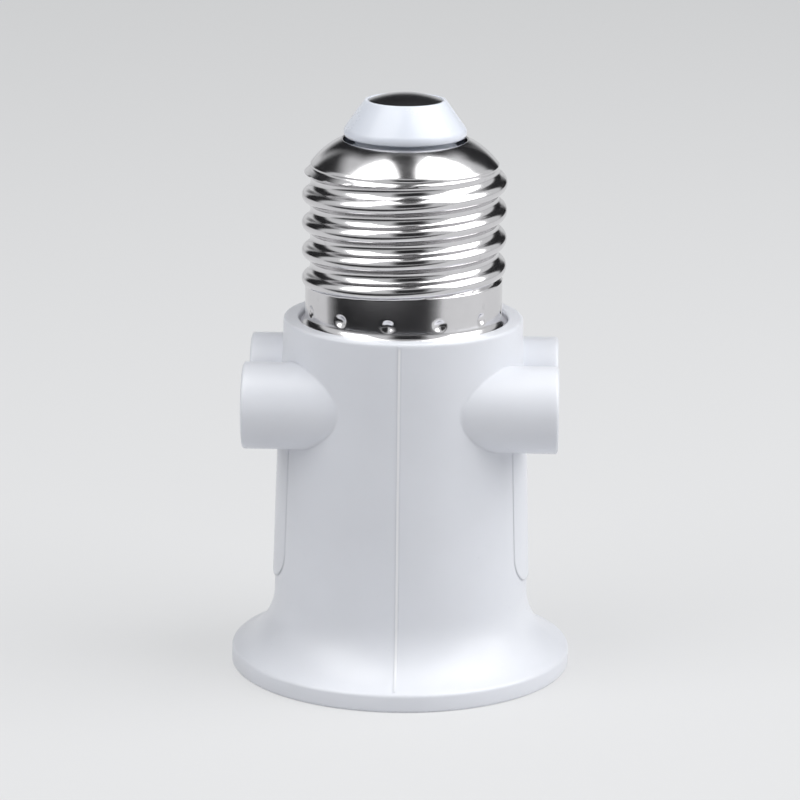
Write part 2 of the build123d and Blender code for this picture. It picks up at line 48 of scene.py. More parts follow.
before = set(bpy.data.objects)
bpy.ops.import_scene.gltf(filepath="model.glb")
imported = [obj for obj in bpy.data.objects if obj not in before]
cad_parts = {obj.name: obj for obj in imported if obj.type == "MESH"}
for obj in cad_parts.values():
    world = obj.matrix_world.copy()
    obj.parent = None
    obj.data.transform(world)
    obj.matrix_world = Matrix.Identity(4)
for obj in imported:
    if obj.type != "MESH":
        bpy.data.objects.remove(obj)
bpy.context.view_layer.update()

MM = 0.001
FULL_TURN = 2 * math.pi
QUARTER_TURN = math.pi / 2
MERGE = 1e-7
SIDES = (-1, 1)
FIXED_BODY = "adapter"
MOVING_BODY = "plunger"

# Faces along roundings, arcs and walls, and round bars and fasteners
FINE_STEPS = 3
LIP_STEPS = 4
ROUND_STEPS = 5
HEAD_STEPS = 6
FACE_STEPS = 8
BULGE_STEPS = 10
ARC_STEPS = 16
CORNER_STEPS = 9
WALL_ROWS = 48
BARREL_STEPS = 128
BARREL_ROWS = 40
HOLE_STEPS = 64
POST_STEPS = 48
SHOULDER_ROWS = 14
HEM_ROWS = 8
FADE_ROWS = 5
SKIRT_ROWS = 36
LIP_ROWS = 6
BUTTON_STEPS = 96
FASTENER_STEPS = 64
COIL_STEPS = 48
WIRE_SIDES = 12

# Sharpest angle, in degrees, at which faces are shaded as one
CREASE = 35
THREAD_CREASE = 50

# How far joined forms run into each other
OVERLAP = 1.0 * MM

# Strength and height of the fine relief, and how dark the shaded colour is
PLASTIC_RELIEF = (0.12, 0.02 * MM)
PLATE_RELIEF = (0.15, 0.01 * MM)
PLASTIC_SHADE = 0.9
PLATE_SHADE = 0.72

# Way along the rolling lines' pattern for each radian round the axis
LINE_STRETCH = 1.2 * MM

# Parting line, painted with a highlight along its ridge and painted shade on both sides: where its painted
# highlight and painted shade end, in half widths, how dark and how strong the painted shade is, and how
# fast it fades at its ends
SEAM_REACHES = (0.8, 1.3, 2.2)
SEAM_SHADE = 0.88
SEAM_SHADED = 0.6
SEAM_FADE = 2.0 * MM

# Where a blend takes its share and its two colours, and where it gives its result
MIX_INPUTS = (0, 6, 7)
MIX_RESULT = 2

# Name, angle to the right of the front, angle up, distance, width and height, and last a lamp's
# watts, or how many times a card holds the width of its soft edge
LAMPS = (
    ("left_box", -58, 50, 0.60, (0.40, 0.85), 2.7),
    ("right_box", 80, 46, 0.60, (0.55, 0.85), 4.5),
)
CARDS = (
    ("front_card", 8, 22, 0.70, (0.60, 0.75), 5),
    ("top_card", 8, 85, 0.65, (0.22, 0.80), 5),
    ("left_card", -125, 20, 0.70, (0.55, 0.80), 5),
    ("right_card", 148, 20, 0.70, (0.40, 0.80), 5),
    ("rear_card", 185, 42, 0.70, (0.80, 0.90), 5),
    ("low_card", -24, -8, 0.07, (0.52, 0.06), 3),
)
FLOOR_HALF = 3.0
SENSOR_WIDTH = 36.0
NEAREST_SEEN = 0.01

HOUSING_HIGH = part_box("housing")[1]
CAP_LOW, CAP_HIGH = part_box("screw_cap")
INSULATOR_LOW, INSULATOR_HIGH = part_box("cap_insulator")
TIP_LOW, TIP_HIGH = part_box("tip_contact")
SHELL_LOW, SHELL_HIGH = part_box("lamp_shell")
CONTACT_LOW, CONTACT_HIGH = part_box("centre_contact")
SPRING_LOW, SPRING_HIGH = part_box("contact_spring")
SCREWS_LOW, SCREWS_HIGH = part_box("carrier_screws")
RIVET_LOW, RIVET_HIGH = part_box("neutral_rivet")
CARRIER_TOP = SPRING_HIGH.z
FLANGE = min(HOUSING_HIGH.x, HOUSING_HIGH.y)


def size(label, description, millimetres):
    """Length property, with its default in millimetres."""
    default = millimetres * MM
    return bpy.props.FloatProperty(
        name=label, description=description, default=default, unit="LENGTH", subtype="DISTANCE", precision=5
    )


def angle(label, description, degrees):
    """Angle property, with its default in degrees."""
    default = math.radians(degrees)
    return bpy.props.FloatProperty(
        name=label, description=description, default=default, unit="ROTATION", subtype="ANGLE"
    )


def tint(label, description, colour):
    """Colour property."""
    return bpy.props.FloatVectorProperty(
        name=label, description=description, default=colour, size=3, min=0.0, max=1.0, subtype="COLOR"
    )


def share(label, description, value):
    """Factor property from 0 to 1."""
    return bpy.props.FloatProperty(
        name=label, description=description, default=value, min=0.0, max=1.0, subtype="FACTOR"
    )


def count(label, description, value):
    """Whole number property."""
    return bpy.props.IntProperty(name=label, description=description, default=value, min=1)


class AdapterBody(bpy.types.PropertyGroup):
    """Sizes of the white moulding."""

    turn_steps: count("Turn steps", "Faces round the moulding", 224)
    height: size("Height", "Height of the rim above the foot", 46.4)
    rim_radius: size("Rim radius", "Outer radius of the rim", 15.45)
    rim_inner: size("Rim inner radius", "Inner radius of the rim", 13.55)
    rim_round: size("Rim rounding", "Rounding of the rim's outer edge", 0.35)
    recess: size("Recess", "Depth of the recess that the cap's hem stands in", 1.0)
    draft: angle("Draft", "Draft of the wall towards the foot", 1.7)
    flare_top: size("Flare top", "Height at which the flare starts", 9.7)
    flange_edge: size("Flange edge", "Height of the flange's upright edge", 2.3)
    lip_round: size("Lip rounding", "Rounding of the flange's upper edge", 0.45)
    foot_round: size("Foot rounding", "Rounding of the flange's lower edge", 0.3)
    foot_width: size("Foot width", "Width of the ring that it stands on", 2.0)
    bore_radius: size("Bore radius", "Radius of the chamber inside", 13.94)
    deck_height: size("Deck height", "Height of the underside of the deck", 43.2)
    lead_hole: size("Lead hole", "Radius of the hole in the deck", 6.2)
    neck_radius: size("Neck radius", "Radius of the neck inside the cap's skirt", 12.26)
    neck_collar: size("Neck collar", "Height of the top of the neck's collar", 51.3)
    neck_upper: size("Neck upper radius", "Radius of the neck inside the cap's thread", 11.61)
    neck_bore: size("Neck bore", "Radius of the bore in the neck", 10.01)
    barrel_radius: size("Barrel radius", "Radius of the four outlet barrels", 5.58)
    barrel_spacing: size("Barrel spacing", "Distance between the two barrels of an outlet", 16.2)
    barrel_height: size("Barrel height", "Height of the barrels' axes", 36.3)
    barrel_reach: size("Barrel reach", "Distance of the barrels' ends from the middle", 20.17)
    barrel_round: size("Barrel rounding", "Rounding of the barrels' ends", 0.4)
    slot_spacing: size("Slot spacing", "Distance between the two flat slots", 12.7)
    slot_width: size("Slot width", "Width of a flat slot", 2.0)
    slot_height: size("Slot height", "Height of a flat slot", 7.2)
    pin_spacing: size("Pin spacing", "Distance between the two round holes", 19.0)
    pin_radius: size("Pin radius", "Radius of a round hole", 2.55)
    pad_proud: size("Pad height", "How far the side pads stand proud", 0.3)
    pad_width: size("Pad width", "Width of the side pads", 13.8)
    pad_crown: share("Pad crown", "How much of the wall's roundness the side pads keep", 0.93)
    pad_foot: size("Pad foot", "Height of the lower edge of the side pads", 12.2)
    pad_corner: size("Pad corner", "Rounding of the side pads' lower corners", 4.0)
    seam_proud: size("Seam height", "How far the parting line stands proud", 0.07)
    seam_width: size("Seam width", "Width of the parting line", 0.3)
    edge_round: size("Edge rounding", "Rounding where the barrels and pads meet the wall", 0.4)
    post_reach: size("Post reach", "Distance of the screw posts from the middle", 9.2)
    post_radius: size("Post radius", "Radius of the screw posts", 2.2)
    post_rib: size("Post rib", "Width of the ribs between posts and wall", 1.4)


class AdapterCap(bpy.types.PropertyGroup):
    """Sizes of the rolled cap, its insulator and its tip."""

    turn_steps: count("Turn steps", "Faces round the cap", 320)
    thread_rows: count("Thread rows", "Rows of faces along the thread", 120)
    sheet: size("Sheet", "Thickness of the rolled sheet", 0.38)
    pitch: size("Pitch", "Pitch of the lamp thread", 3.629)
    depth: size("Thread depth", "Depth of the lamp thread", 1.096)
    crest_radius: size("Crest radius", "Radius over the thread's crests", 13.15)
    skirt_radius: size("Skirt radius", "Radius of the plain skirt", 12.7)
    run_out: size("Run-out", "How far the thread runs out below the skirt's upper end", 1.0)
    skirt_top: size("Skirt top", "Height of the skirt's upper end", 51.5)
    shoulder_height: size("Shoulder height", "Height at which the shoulder starts", 66.5)
    shoulder_bow: size("Shoulder bow", "How far the shoulder bows out of a cone", 0.36)
    mouth_radius: size("Mouth radius", "Radius of the shoulder's inner edge", 7.95)
    mouth_height: size("Mouth height", "Height of the shoulder's inner edge", 69.72)
    mouth_round: size("Mouth rounding", "Rounding of the shoulder's inner edge", 0.15)
    first_crest: size("First crest", "Height of the top crest on the left side", 62.3)
    hem_height: size("Hem height", "Height of the flared hem", 1.6)
    hem_lip: size("Hem lip", "Height of the upright edge of the hem", 0.5)
    dents: count("Dents", "Staking dents round the skirt", 12)
    dent_ball: size("Dent ball", "Radius of the staking punch", 1.25)
    dent_depth: size("Dent depth", "Depth of the staking dents", 0.3)
    dent_height: size("Dent height", "Height of the staking dents", 47.95)
    dent_turn: angle("Dent turn", "Angle of the first dent from the front", -7.0)
    fit: size("Fit", "Clearance between the pieces at the cap's top", 0.06)
    insulator_radius: size("Insulator radius", "Largest radius of the insulator above the cap", 8.0)
    insulator_top: size("Insulator top radius", "Radius of the insulator's upper edge", 5.18)
    insulator_edge: size("Insulator edge", "Height of the insulator's lower edge", 69.98)
    insulator_bulge: size("Insulator bulge", "Height of its widest part above that edge", 0.75)
    insulator_undercut: size("Insulator undercut", "How far that edge draws in", 0.3)
    insulator_waist: size("Insulator waist", "Radius of the insulator in the cap's mouth", 6.4)
    insulator_wall: size("Insulator wall", "Wall of the insulator", 1.8)
    insulator_slope: share("Insulator slope", "Fall of the insulator inside the shoulder", 0.9)
    bulge_round: size("Bulge rounding", "Rounding of the insulator's widest part", 0.975)
    under_round: size("Under rounding", "Rounding of the insulator's lower edge", 0.3)
    lip_inner_round: size("Inner lip rounding", "Rounding of the tip seat's edge", 0.08)
    lip_outer_round: size("Outer lip rounding", "Rounding of the insulator's upper edge", 0.12)
    tip_seat: size("Tip seat", "Depth of the seat of the tip contact", 0.7)
    tip_crown: size("Tip crown", "Rise of the tip contact's dome", 0.9)
    tip_round: size("Tip rounding", "Rounding of the tip contact's edge", 0.2)
    tip_stem: size("Tip stem", "Radius of the tip contact's stem", 1.4)
    tip_bore: size("Tip bore", "Radius of the bore in the stem", 0.7)
    tip_rivet: size("Tip rivet", "Radius of the stem's riveted end", 2.2)


class AdapterSocket(bpy.types.PropertyGroup):
    """Sizes of the lamp socket inside the flared base."""

    turn_steps: count("Turn steps", "Faces round the socket", 256)
    thread_rows: count("Thread rows", "Rows of faces along the thread", 110)
    play: size("Play", "Radial play between a lamp's cap and the socket", 0.15)
    lip: size("Lip", "Height of the plain lip below the thread", 1.2)
    flange_hole: size("Flange hole", "Radius of the hole in the socket's top", 7.5)
    first_crest: size("First crest", "Height of the top crest on the left side", 20.35)
    button_radius: size("Button radius", "Radius of the sprung button", 2.0)
    button_round: size("Button rounding", "Rounding of the button's face", 0.8)
    collar_height: size("Collar height", "Height of the underside of the plunger's collar", 25.85)
    collar_top: size("Collar top", "Height of the top of the plunger's collar", 26.65)
    guide_radius: size("Guide radius", "Radius of the spring guide", 1.4)
    guide_round: size("Guide rounding", "Rounding of the spring guide's end", 0.3)
    spring_wire: size("Spring wire", "Thickness of the spring's wire", 0.44)
    spring_turns: count("Spring turns", "Turns of the contact spring", 4)
    screw_radius: size("Screw radius", "Radius of the carrier screws", 1.2)
    screw_head: size("Screw head", "Radius of the carrier screws' heads", 1.95)
    screw_round: size("Screw rounding", "Rounding of the carrier screws' heads", 0.6)
    screw_slot: size("Screw slot", "Width of the screws' slots", 0.6)
    left_lean: angle("Left slot", "Turn of the left screw's slot", 28.648)
    right_lean: angle("Right slot", "Turn of the right screw's slot", -51.566)
    rivet_reach: size("Rivet reach", "Distance of the rivet from the middle", 9.5)
    rivet_radius: size("Rivet radius", "Radius of the rivet's shank", 0.9)
    rivet_head: size("Rivet head", "Radius of the rivet's heads", 1.6)
    rivet_rise: size("Rivet rise", "Height of the rivet's heads", 0.6)
    rivet_round: size("Rivet rounding", "Rounding of the rivet's heads", 0.4)


class AdapterFinish(bpy.types.PropertyGroup):
    """Colours of the finishes, and of the painted highlight on the parting line."""

    moulding: tint("Moulding", "White plastic of the housing", (0.79, 0.81, 0.86))
    # Painted highlight: paler colour laid along the parting line's ridge
    seam: tint("Seam", "Ridge of the housing's parting line", (0.89, 0.90, 0.93))
    insulator: tint("Insulator", "White plastic of the cap's insulator", (0.78, 0.82, 0.90))
    carrier: tint("Carrier", "Plastic of the contact carrier", (0.70, 0.67, 0.58))
    nickel: tint("Nickel", "Plate of the screw cap", (0.72, 0.71, 0.72))
    tip: tint("Tip", "Plate of the tip contact", (0.60, 0.60, 0.62))
    socket: tint("Socket", "Metal of the lamp shell", (0.80, 0.80, 0.81))
    brass: tint("Brass", "Strip of the contacts", (0.80, 0.58, 0.26))
    copper: tint("Copper", "Bare wire", (0.72, 0.38, 0.22))
    steel: tint("Steel", "Screws and spring", (0.62, 0.62, 0.60))
    live: tint("Live sleeve", "Insulation of the live lead", (0.22, 0.10, 0.05))
    neutral: tint("Neutral sleeve", "Insulation of the neutral lead", (0.04, 0.12, 0.36))


class AdapterStudio(bpy.types.PropertyGroup):
    """Camera and lamps of the plain studio."""

    target: size("Target", "Height that the camera looks at", 35.2)
    distance: size("Distance", "Distance of the camera from the object", 491.0)
    elevation: angle("Elevation", "Angle of the camera above the horizon", 14.59)
    azimuth: angle("Azimuth", "Angle of the camera to the right of the front", 1.75)
    roll: angle("Roll", "Lean of the camera", 0.58)
    lens: bpy.props.FloatProperty(
        name="Lens", description="Focal length on a 36 mm sensor", default=170.2, subtype="DISTANCE_CAMERA"
    )
    shift: bpy.props.FloatProperty(
        name="Shift", description="Sideways shift of the picture", default=-0.0032
    )
    floor: tint("Floor", "Pale floor", (0.62, 0.62, 0.63))
    floor_seen: share("Floor seen", "Share of the background's colour that the floor shows", 0.6)
    card: tint("Cards", "Dark cards that the metal reflects", (0.02, 0.02, 0.022))
    sky: tint("Background", "Pale background", (0.86, 0.87, 0.88))
    sky_seen: share("Background seen", "Strength of the background in the picture", 0.8)
    sky_light: share("Background light", "Strength of the background as a light", 0.12)


def nearest(bm, place):
    """Vertex of the outline nearest to a radius and height."""
    return min(bm.verts, key=lambda vert: (vert.co.xz - Vector(place)).length_squared)


def soften(bm, place, radius, segments):
    """Rounds the outline's corner at a place to a radius."""
    vert = nearest(bm, place)
    ends = [edge.other_vert(vert).co - vert.co for edge in vert.link_edges]
    half = ends[0].angle(ends[1]) / 2
    offset = radius / math.tan(half)
    bmesh.ops.bevel(
        bm, geom=[vert], offset=offset, affect="VERTICES", segments=segments, profile=0.5, material=-1
    )


def divide(bm, first, second, cuts):
    """Cuts the outline's edge between two corners into rows."""
    edge = bm.edges.get((nearest(bm, first), nearest(bm, second)))
    if edge is None:
        raise ValueError("the two corners aren't joined by an edge")
    bmesh.ops.subdivide_edges(bm, edges=[edge], cuts=cuts)


def tangent_arc(start, end, heading, steps):
    """Points of the arc that leaves start along heading and ends at end."""
    start, end, heading = Vector(start), Vector(end), Vector(heading).normalized()
    chord = end - start
    across = Vector((-heading.y, heading.x))
    if across.dot(chord) < 0:
        across.negate()
    radius = chord.length_squared / (2 * across.dot(chord))
    centre = start + across * radius
    sweep = 2 * math.acos(min(1.0, heading.dot(chord.normalized())))
    points = []
    for step in range(steps + 1):
        gone = sweep * step / steps
        points.append(tuple(centre - across * radius * math.cos(gone) + heading * radius * math.sin(gone)))
    return points


def bowed(start, end, rise, steps):
    """Points of the arc from start to end that bows out to the right by a rise."""
    chord = Vector(end) - Vector(start)
    lean = 2 * math.atan(2 * rise / chord.length)
    return tangent_arc(start, end, Matrix.Rotation(-lean, 2) @ chord, steps)


def spin(bm, steps, turns=1, rise=0.0):
    """Spins all of a mesh about Z, level or with a rise, and joins where it meets itself."""
    bmesh.ops.spin(
        bm,
        geom=bm.verts[:] + bm.edges[:] + bm.faces[:],
        axis=(0, 0, 1),
        dvec=(0, 0, rise / steps),
        angle=FULL_TURN * turns,
        steps=steps,
        use_merge=not rise,
    )
    bmesh.ops.remove_doubles(bm, verts=bm.verts[:], dist=MERGE)
    bmesh.ops.recalc_face_normals(bm, faces=bm.faces[:])


def turned(outline, steps, rounds=(), rows=()):
    """Mesh of a closed outline of radius and height points, spun about Z.

    Rows first cut edges, each by its two corners and a number of cuts. Rounds then round corners,
    each by its place, its radius and a number of faces.
    """
    bm = bmesh.new()
    verts = [bm.verts.new((radius, 0, height)) for radius, height in outline]
    for pair in zip(verts, verts[1:] + verts[:1]):
        bm.edges.new(pair)
    for row in rows:
        divide(bm, *row)
    for rounding in rounds:
        soften(bm, *rounding)
    spin(bm, steps)
    return bm


def both_sides(place):
    """A place's mirror image about the axis, and the place itself, as translations."""
    x, y, z = place
    return [Matrix.Translation((side * x, side * y, z)) for side in SIDES]


def twin_bars(radius, length, place, lying, segments):
    """Mesh of two like round bars on both sides of the axis, upright or lying along X."""
    bm = bmesh.new()
    stand = Matrix.Rotation(QUARTER_TURN, 4, "Y") if lying else Matrix.Identity(4)
    for shift in both_sides(place):
        shape = shift @ stand
        bmesh.ops.create_cone(
            bm, cap_ends=True, segments=segments, radius1=radius, radius2=radius, depth=length, matrix=shape
        )
    return bm


def twin_blocks(sizes, place, leans=(0.0, 0.0)):
    """Mesh of two like boxes on both sides of the axis, each turned about its upright axis."""
    bm = bmesh.new()
    for shift, lean in zip(both_sides(place), leans):
        shape = shift @ Matrix.Rotation(lean, 4, "Z") @ Matrix.Diagonal((*sizes, 1))
        bmesh.ops.create_cube(bm, size=1, matrix=shape)
    return bm


def trim(bm, place, normal):
    """Cuts off what lies beyond a plane of a closed mesh, and closes the cut."""
    geom = bm.verts[:] + bm.edges[:] + bm.faces[:]
    cut = bmesh.ops.bisect_plane(
        bm, geom=geom, dist=MERGE, plane_co=place, plane_no=normal, clear_outer=True
    )
    edges = [item for item in cut["geom_cut"] if isinstance(item, bmesh.types.BMEdge)]
    bmesh.ops.contextual_create(bm, geom=edges)
    bmesh.ops.recalc_face_normals(bm, faces=bm.faces[:])


def slab(bm, direction, half):
    """Keeps the middle of a closed mesh, between two planes across a direction."""
    for side in SIDES:
        normal = Vector(direction) * side
        trim(bm, normal * half, normal)


def to_object(bm, name):
    """Object at the origin that holds the mesh."""
    mesh = bpy.data.meshes.new(name)
    bm.to_mesh(mesh)
    bm.free()
    piece = bpy.data.objects.new(name, mesh)
    bpy.context.scene.collection.objects.link(piece)
    return piece


def settle(piece):
    """Applies the modifiers of a piece to its mesh."""
    bpy.context.view_layer.update()
    graph = bpy.context.evaluated_depsgraph_get()
    old = piece.data
    piece.data = bpy.data.meshes.new_from_object(piece.evaluated_get(graph))
    piece.modifiers.clear()
    bpy.data.meshes.remove(old)
    piece.data.name = piece.name


def carve(piece, bm, operation):
    """Joins a form to a piece or cuts it away."""
    tool = to_object(bm, piece.name + "_tool")
    modifier = piece.modifiers.new("carve", "BOOLEAN")
    modifier.operation = operation
    modifier.solver = "EXACT"
    modifier.object = tool
    settle(piece)
    mesh = tool.data
    bpy.data.objects.remove(tool)
    bpy.data.meshes.remove(mesh)
    if not piece.data.polygons:
        raise RuntimeError(f"{piece.name} came out empty")


def finish_piece(piece, material, slot, body, *nodes, crease=CREASE):
    """Shades a piece, gives it its material and sets it in the place of its nodes."""
    piece.data.shade_smooth()
    piece.data.set_sharp_from_angle(angle=math.radians(crease))
    piece.data.materials.clear()
    piece.data.materials.append(material)
    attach(piece, body)
    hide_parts(*nodes)


def dress_nodes(material, *names):
    """Gives solids their material."""
    for name in names:
        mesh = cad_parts[name].data
        mesh.materials.clear()
        mesh.materials.append(material)


class Tree:
    """Short way to build a node tree."""

    def __init__(self, tree):
        self.tree = tree

    def node(self, kind, values=None, **settings):
        """Adds a node, with its input values by name and its settings."""
        made = self.tree.nodes.new(kind)
        for key, value in settings.items():
            setattr(made, key, value)
        for key, value in (values or {}).items():
            self.link(value, made.inputs[key])
        return made

    def link(self, item, socket):
        """Joins an output to an input, or sets the input to a number or a colour."""
        if isinstance(item, bpy.types.NodeSocket):
            self.tree.links.new(item, socket)
        elif isinstance(item, float) or len(item) == len(socket.default_value):
            socket.default_value = item
        else:
            socket.default_value = (*item, 1)

    def split(self, vector):
        """Outputs X, Y and Z of a vector."""
        return self.node("ShaderNodeSeparateXYZ", {"Vector": vector}).outputs

    def math(self, operation, *items):
        """Math node of numbers or outputs. Returns its output."""
        made = self.node("ShaderNodeMath", operation=operation)
        for socket, item in zip(made.inputs, items):
            self.link(item, socket)
        return made.outputs["Value"]

    def product(self, first, *others):
        """Product of outputs and numbers."""
        for other in others:
            first = self.math("MULTIPLY", first, other)
        return first

    def total(self, first, *weighted):
        """An output, to which others are added, each times its weight."""
        for output, weight in weighted:
            first = self.math("ADD", first, self.math("MULTIPLY", output, weight))
        return first

    def ramp(self, value, low, high, to_low=0.0, to_high=1.0):
        """Maps a value from one range to another. Returns the output."""
        ends = {"From Min": low, "From Max": high, "To Min": to_low, "To Max": to_high}
        return self.node("ShaderNodeMapRange", {"Value": value, **ends}, clamp=True).outputs["Result"]

    def noise(self, vector, scale, detail):
        """Noise on a vector. Returns its value."""
        values = {"Vector": vector, "Scale": scale, "Detail": detail}
        return self.node("ShaderNodeTexNoise", values).outputs["Fac"]

    def blend(self, factor, first, second):
        """Mix of two colours by a factor. Returns the result."""
        made = self.node("ShaderNodeMix", data_type="RGBA")
        for index, item in zip(MIX_INPUTS, (factor, first, second)):
            self.link(item, made.inputs[index])
        return made.outputs[MIX_RESULT]


def skin_group(fill):
    """Shader node group that turns two colours and a gloss into colour, roughness and relief."""
    name = fill.__name__
    if name in bpy.data.node_groups:
        return bpy.data.node_groups[name]
    group = bpy.data.node_groups.new(name, "ShaderNodeTree")
    colour, value = "NodeSocketColor", "NodeSocketFloat"
    for label, kind in (("Colour", colour), ("Shade", colour), ("Gloss", value)):
        group.interface.new_socket(name=label, in_out="INPUT", socket_type=kind)
    for label, kind in (("Colour", colour), ("Roughness", value), ("Height", value)):
        group.interface.new_socket(name=label, in_out="OUTPUT", socket_type=kind)
    tree = Tree(group)
    place = tree.node("ShaderNodeTexCoord").outputs["Object"]
    fill(tree, place, tree.node("NodeGroupInput").outputs, tree.node("NodeGroupOutput").inputs)
    return group


def moulded_skin(tree, place, given, put):
    """Moulded plastic: cloudy colour, fine grain and faint handling marks."""
    cloud = tree.ramp(tree.noise(place, scale=90.0, detail=3.0), low=0.35, high=0.7)
    grain = tree.noise(place, scale=5200.0, detail=2.0)
    peel = tree.noise(place, scale=700.0, detail=2.0)
    smear = tree.ramp(tree.noise(place, scale=160.0, detail=6.0), low=0.5, high=0.72, to_high=0.09)
    specks = tree.node("ShaderNodeTexVoronoi", {"Vector": place, "Scale": 260.0})
    speck = tree.ramp(specks.outputs["Distance"], low=0.02, high=0.05, to_low=0.5, to_high=0.0)
    soiled = tree.total(speck, (cloud, 0.35))
    tree.link(tree.blend(soiled, given["Colour"], given["Shade"]), put["Colour"])
    grained = tree.math("SUBTRACT", grain, 0.5)
    rough = tree.total(given["Gloss"], (grained, 0.12))
    tree.link(tree.math("ADD", rough, smear), put["Roughness"])
    tree.link(tree.total(tree.product(peel, 0.7), (grain, 0.3)), put["Height"])


def rolled_metal(tree, place, given, put):
    """Rolled and plated sheet: lines round the axis, cloudy plate and small marks."""
    parts = tree.split(place)
    around = tree.math("ARCTAN2", parts["Y"], parts["X"])
    stretched = tree.product(around, LINE_STRETCH)
    lie = tree.node("ShaderNodeCombineXYZ", {"X": stretched, "Z": parts["Z"]})
    lines = tree.noise(lie.outputs["Vector"], scale=6000.0, detail=3.0)
    cloud = tree.ramp(tree.noise(place, scale=140.0, detail=5.0), low=0.4, high=0.75)
    marks = tree.ramp(tree.noise(place, scale=900.0, detail=4.0), low=0.62, high=0.75)
    dull = tree.total(tree.product(cloud, 0.3), (marks, 0.25))
    tree.link(tree.blend(dull, given["Colour"], given["Shade"]), put["Colour"])
    tree.link(tree.total(given["Gloss"], (lines, 0.08), (dull, 0.12)), put["Roughness"])
    tree.link(tree.total(lines, (marks, -0.4)), put["Height"])


def darker(colour, factor):
    """The colour, darkened."""
    return tuple(channel * factor for channel in colour)


def new_material(name, fill, given, settings, relief, edge=0.0):
    """Material whose colour, roughness and relief come from a skin, with edges eased to a radius."""
    material = bpy.data.materials.new(name)
    material.use_nodes = True
    material.node_tree.nodes.clear()
    tree = Tree(material.node_tree)
    skin = tree.node("ShaderNodeGroup", node_tree=skin_group(fill))
    for key, value in given.items():
        tree.link(value, skin.inputs[key])
    strength, distance = relief
    values = {"Strength": strength, "Distance": distance, "Height": skin.outputs["Height"]}
    bump = tree.node("ShaderNodeBump", values)
    if edge:
        eased = tree.node("ShaderNodeBevel", {"Radius": edge}, samples=6)
        tree.link(eased.outputs["Normal"], bump.inputs["Normal"])
    linked = {
        "Base Color": skin.outputs["Colour"],
        "Roughness": skin.outputs["Roughness"],
        "Normal": bump.outputs["Normal"],
    }
    shader = tree.node("ShaderNodeBsdfPrincipled", {**settings, **linked})
    tree.node("ShaderNodeOutputMaterial", {"Surface": shader.outputs["BSDF"]})
    return material


def plastic(name, colour, gloss, subsurface=0.0, edge=0.0):
    """Moulded plastic."""
    settings = {
        "IOR": 1.5,
        "Subsurface Weight": subsurface,
        "Subsurface Scale": 0.6 * MM,
        "Subsurface Radius": (1.0, 0.95, 0.9),
    }
    given = {"Colour": colour, "Shade": darker(colour, PLASTIC_SHADE), "Gloss": gloss}
    return new_material(name, moulded_skin, given, settings, PLASTIC_RELIEF, edge)


def metal(name, colour, gloss):
    """Rolled or plated metal."""
    given = {"Colour": colour, "Shade": darker(colour, PLATE_SHADE), "Gloss": gloss}
    return new_material(name, rolled_metal, given, {"Metallic": 1.0}, PLATE_RELIEF)


def thread_radius(x, y, z, cap, crest_radius, crest_height):
    """Radius of the lamp thread at a place: equal arcs that meet at a tangent, right-hand."""
    arc = ((cap.pitch / 2) ** 2 + cap.depth**2) / (4 * cap.depth)
    turns = (math.atan2(y, x) - math.pi) / FULL_TURN
    along = (z - crest_height) / cap.pitch - turns
    along = abs(along - round(along)) * cap.pitch
    if along <= cap.pitch / 4:
        return crest_radius - arc + math.sqrt(arc**2 - along**2)
    return crest_radius - cap.depth + arc - math.sqrt(arc**2 - (cap.pitch / 2 - along) ** 2)


def set_radius(vert, radius):
    """Moves a vertex to a radius about Z."""
    flat = Vector((vert.co.x, vert.co.y)).normalized() * radius
    vert.co.x, vert.co.y = flat


def roll_thread(bm, cap, crest_radius, crest_height, low, high):
    """Rolls the lamp thread into the rows between two heights, fading out at both ends."""
    root = crest_radius - cap.depth
    for vert in bm.verts:
        radius = math.hypot(*vert.co.xy)
        if not low < vert.co.z < high or radius < root - cap.sheet / 2:
            continue
        wave = thread_radius(*vert.co, cap, crest_radius, crest_height)
        fade = min(vert.co.z - low, high - vert.co.z)
        set_radius(vert, max(radius, min(wave, radius + fade)))


def press_dents(bm, cap):
    """Presses the staking dents into the skirt and smooths their rims."""
    outer = [vert for vert in bm.verts if math.hypot(*vert.co.xy) >= cap.skirt_radius - cap.sheet / 2]
    reach = cap.skirt_radius + cap.dent_ball - cap.dent_depth
    pressed = []
    for index in range(cap.dents):
        around = cap.dent_turn - QUARTER_TURN + index * FULL_TURN / cap.dents
        outwards = Vector((math.cos(around), math.sin(around), 0))
        centre = outwards * reach + Vector((0, 0, cap.dent_height))
        for vert in outer:
            offset = vert.co - centre
            if offset.length > 2 * cap.dent_ball:
                continue
            pressed.append(vert)
            aside = (offset - outwards * offset.dot(outwards)).length
            if aside < cap.dent_ball:
                inner = reach - math.sqrt(cap.dent_ball**2 - aside**2)
                set_radius(vert, min(math.hypot(*vert.co.xy), inner))
    bmesh.ops.smooth_vert(bm, verts=pressed, factor=0.5, use_axis_x=True, use_axis_y=True, use_axis_z=True)


def wall_radius(body, height):
    """Outer radius of the drafted wall at a height."""
    return body.rim_radius + (body.height - height) * math.tan(body.draft)


def flare(body, grow):
    """Outline of the outer wall from the flange's lip up to the rim, grown by a thickness."""
    rim = (body.rim_radius + grow, body.height)
    waist = (wall_radius(body, body.flare_top) + grow, body.flare_top)
    lip = (FLANGE, body.flange_edge + grow)
    heading = (math.sin(body.draft), -math.cos(body.draft))
    return tangent_arc(waist, lip, heading, ARC_STEPS)[::-1] + [rim]


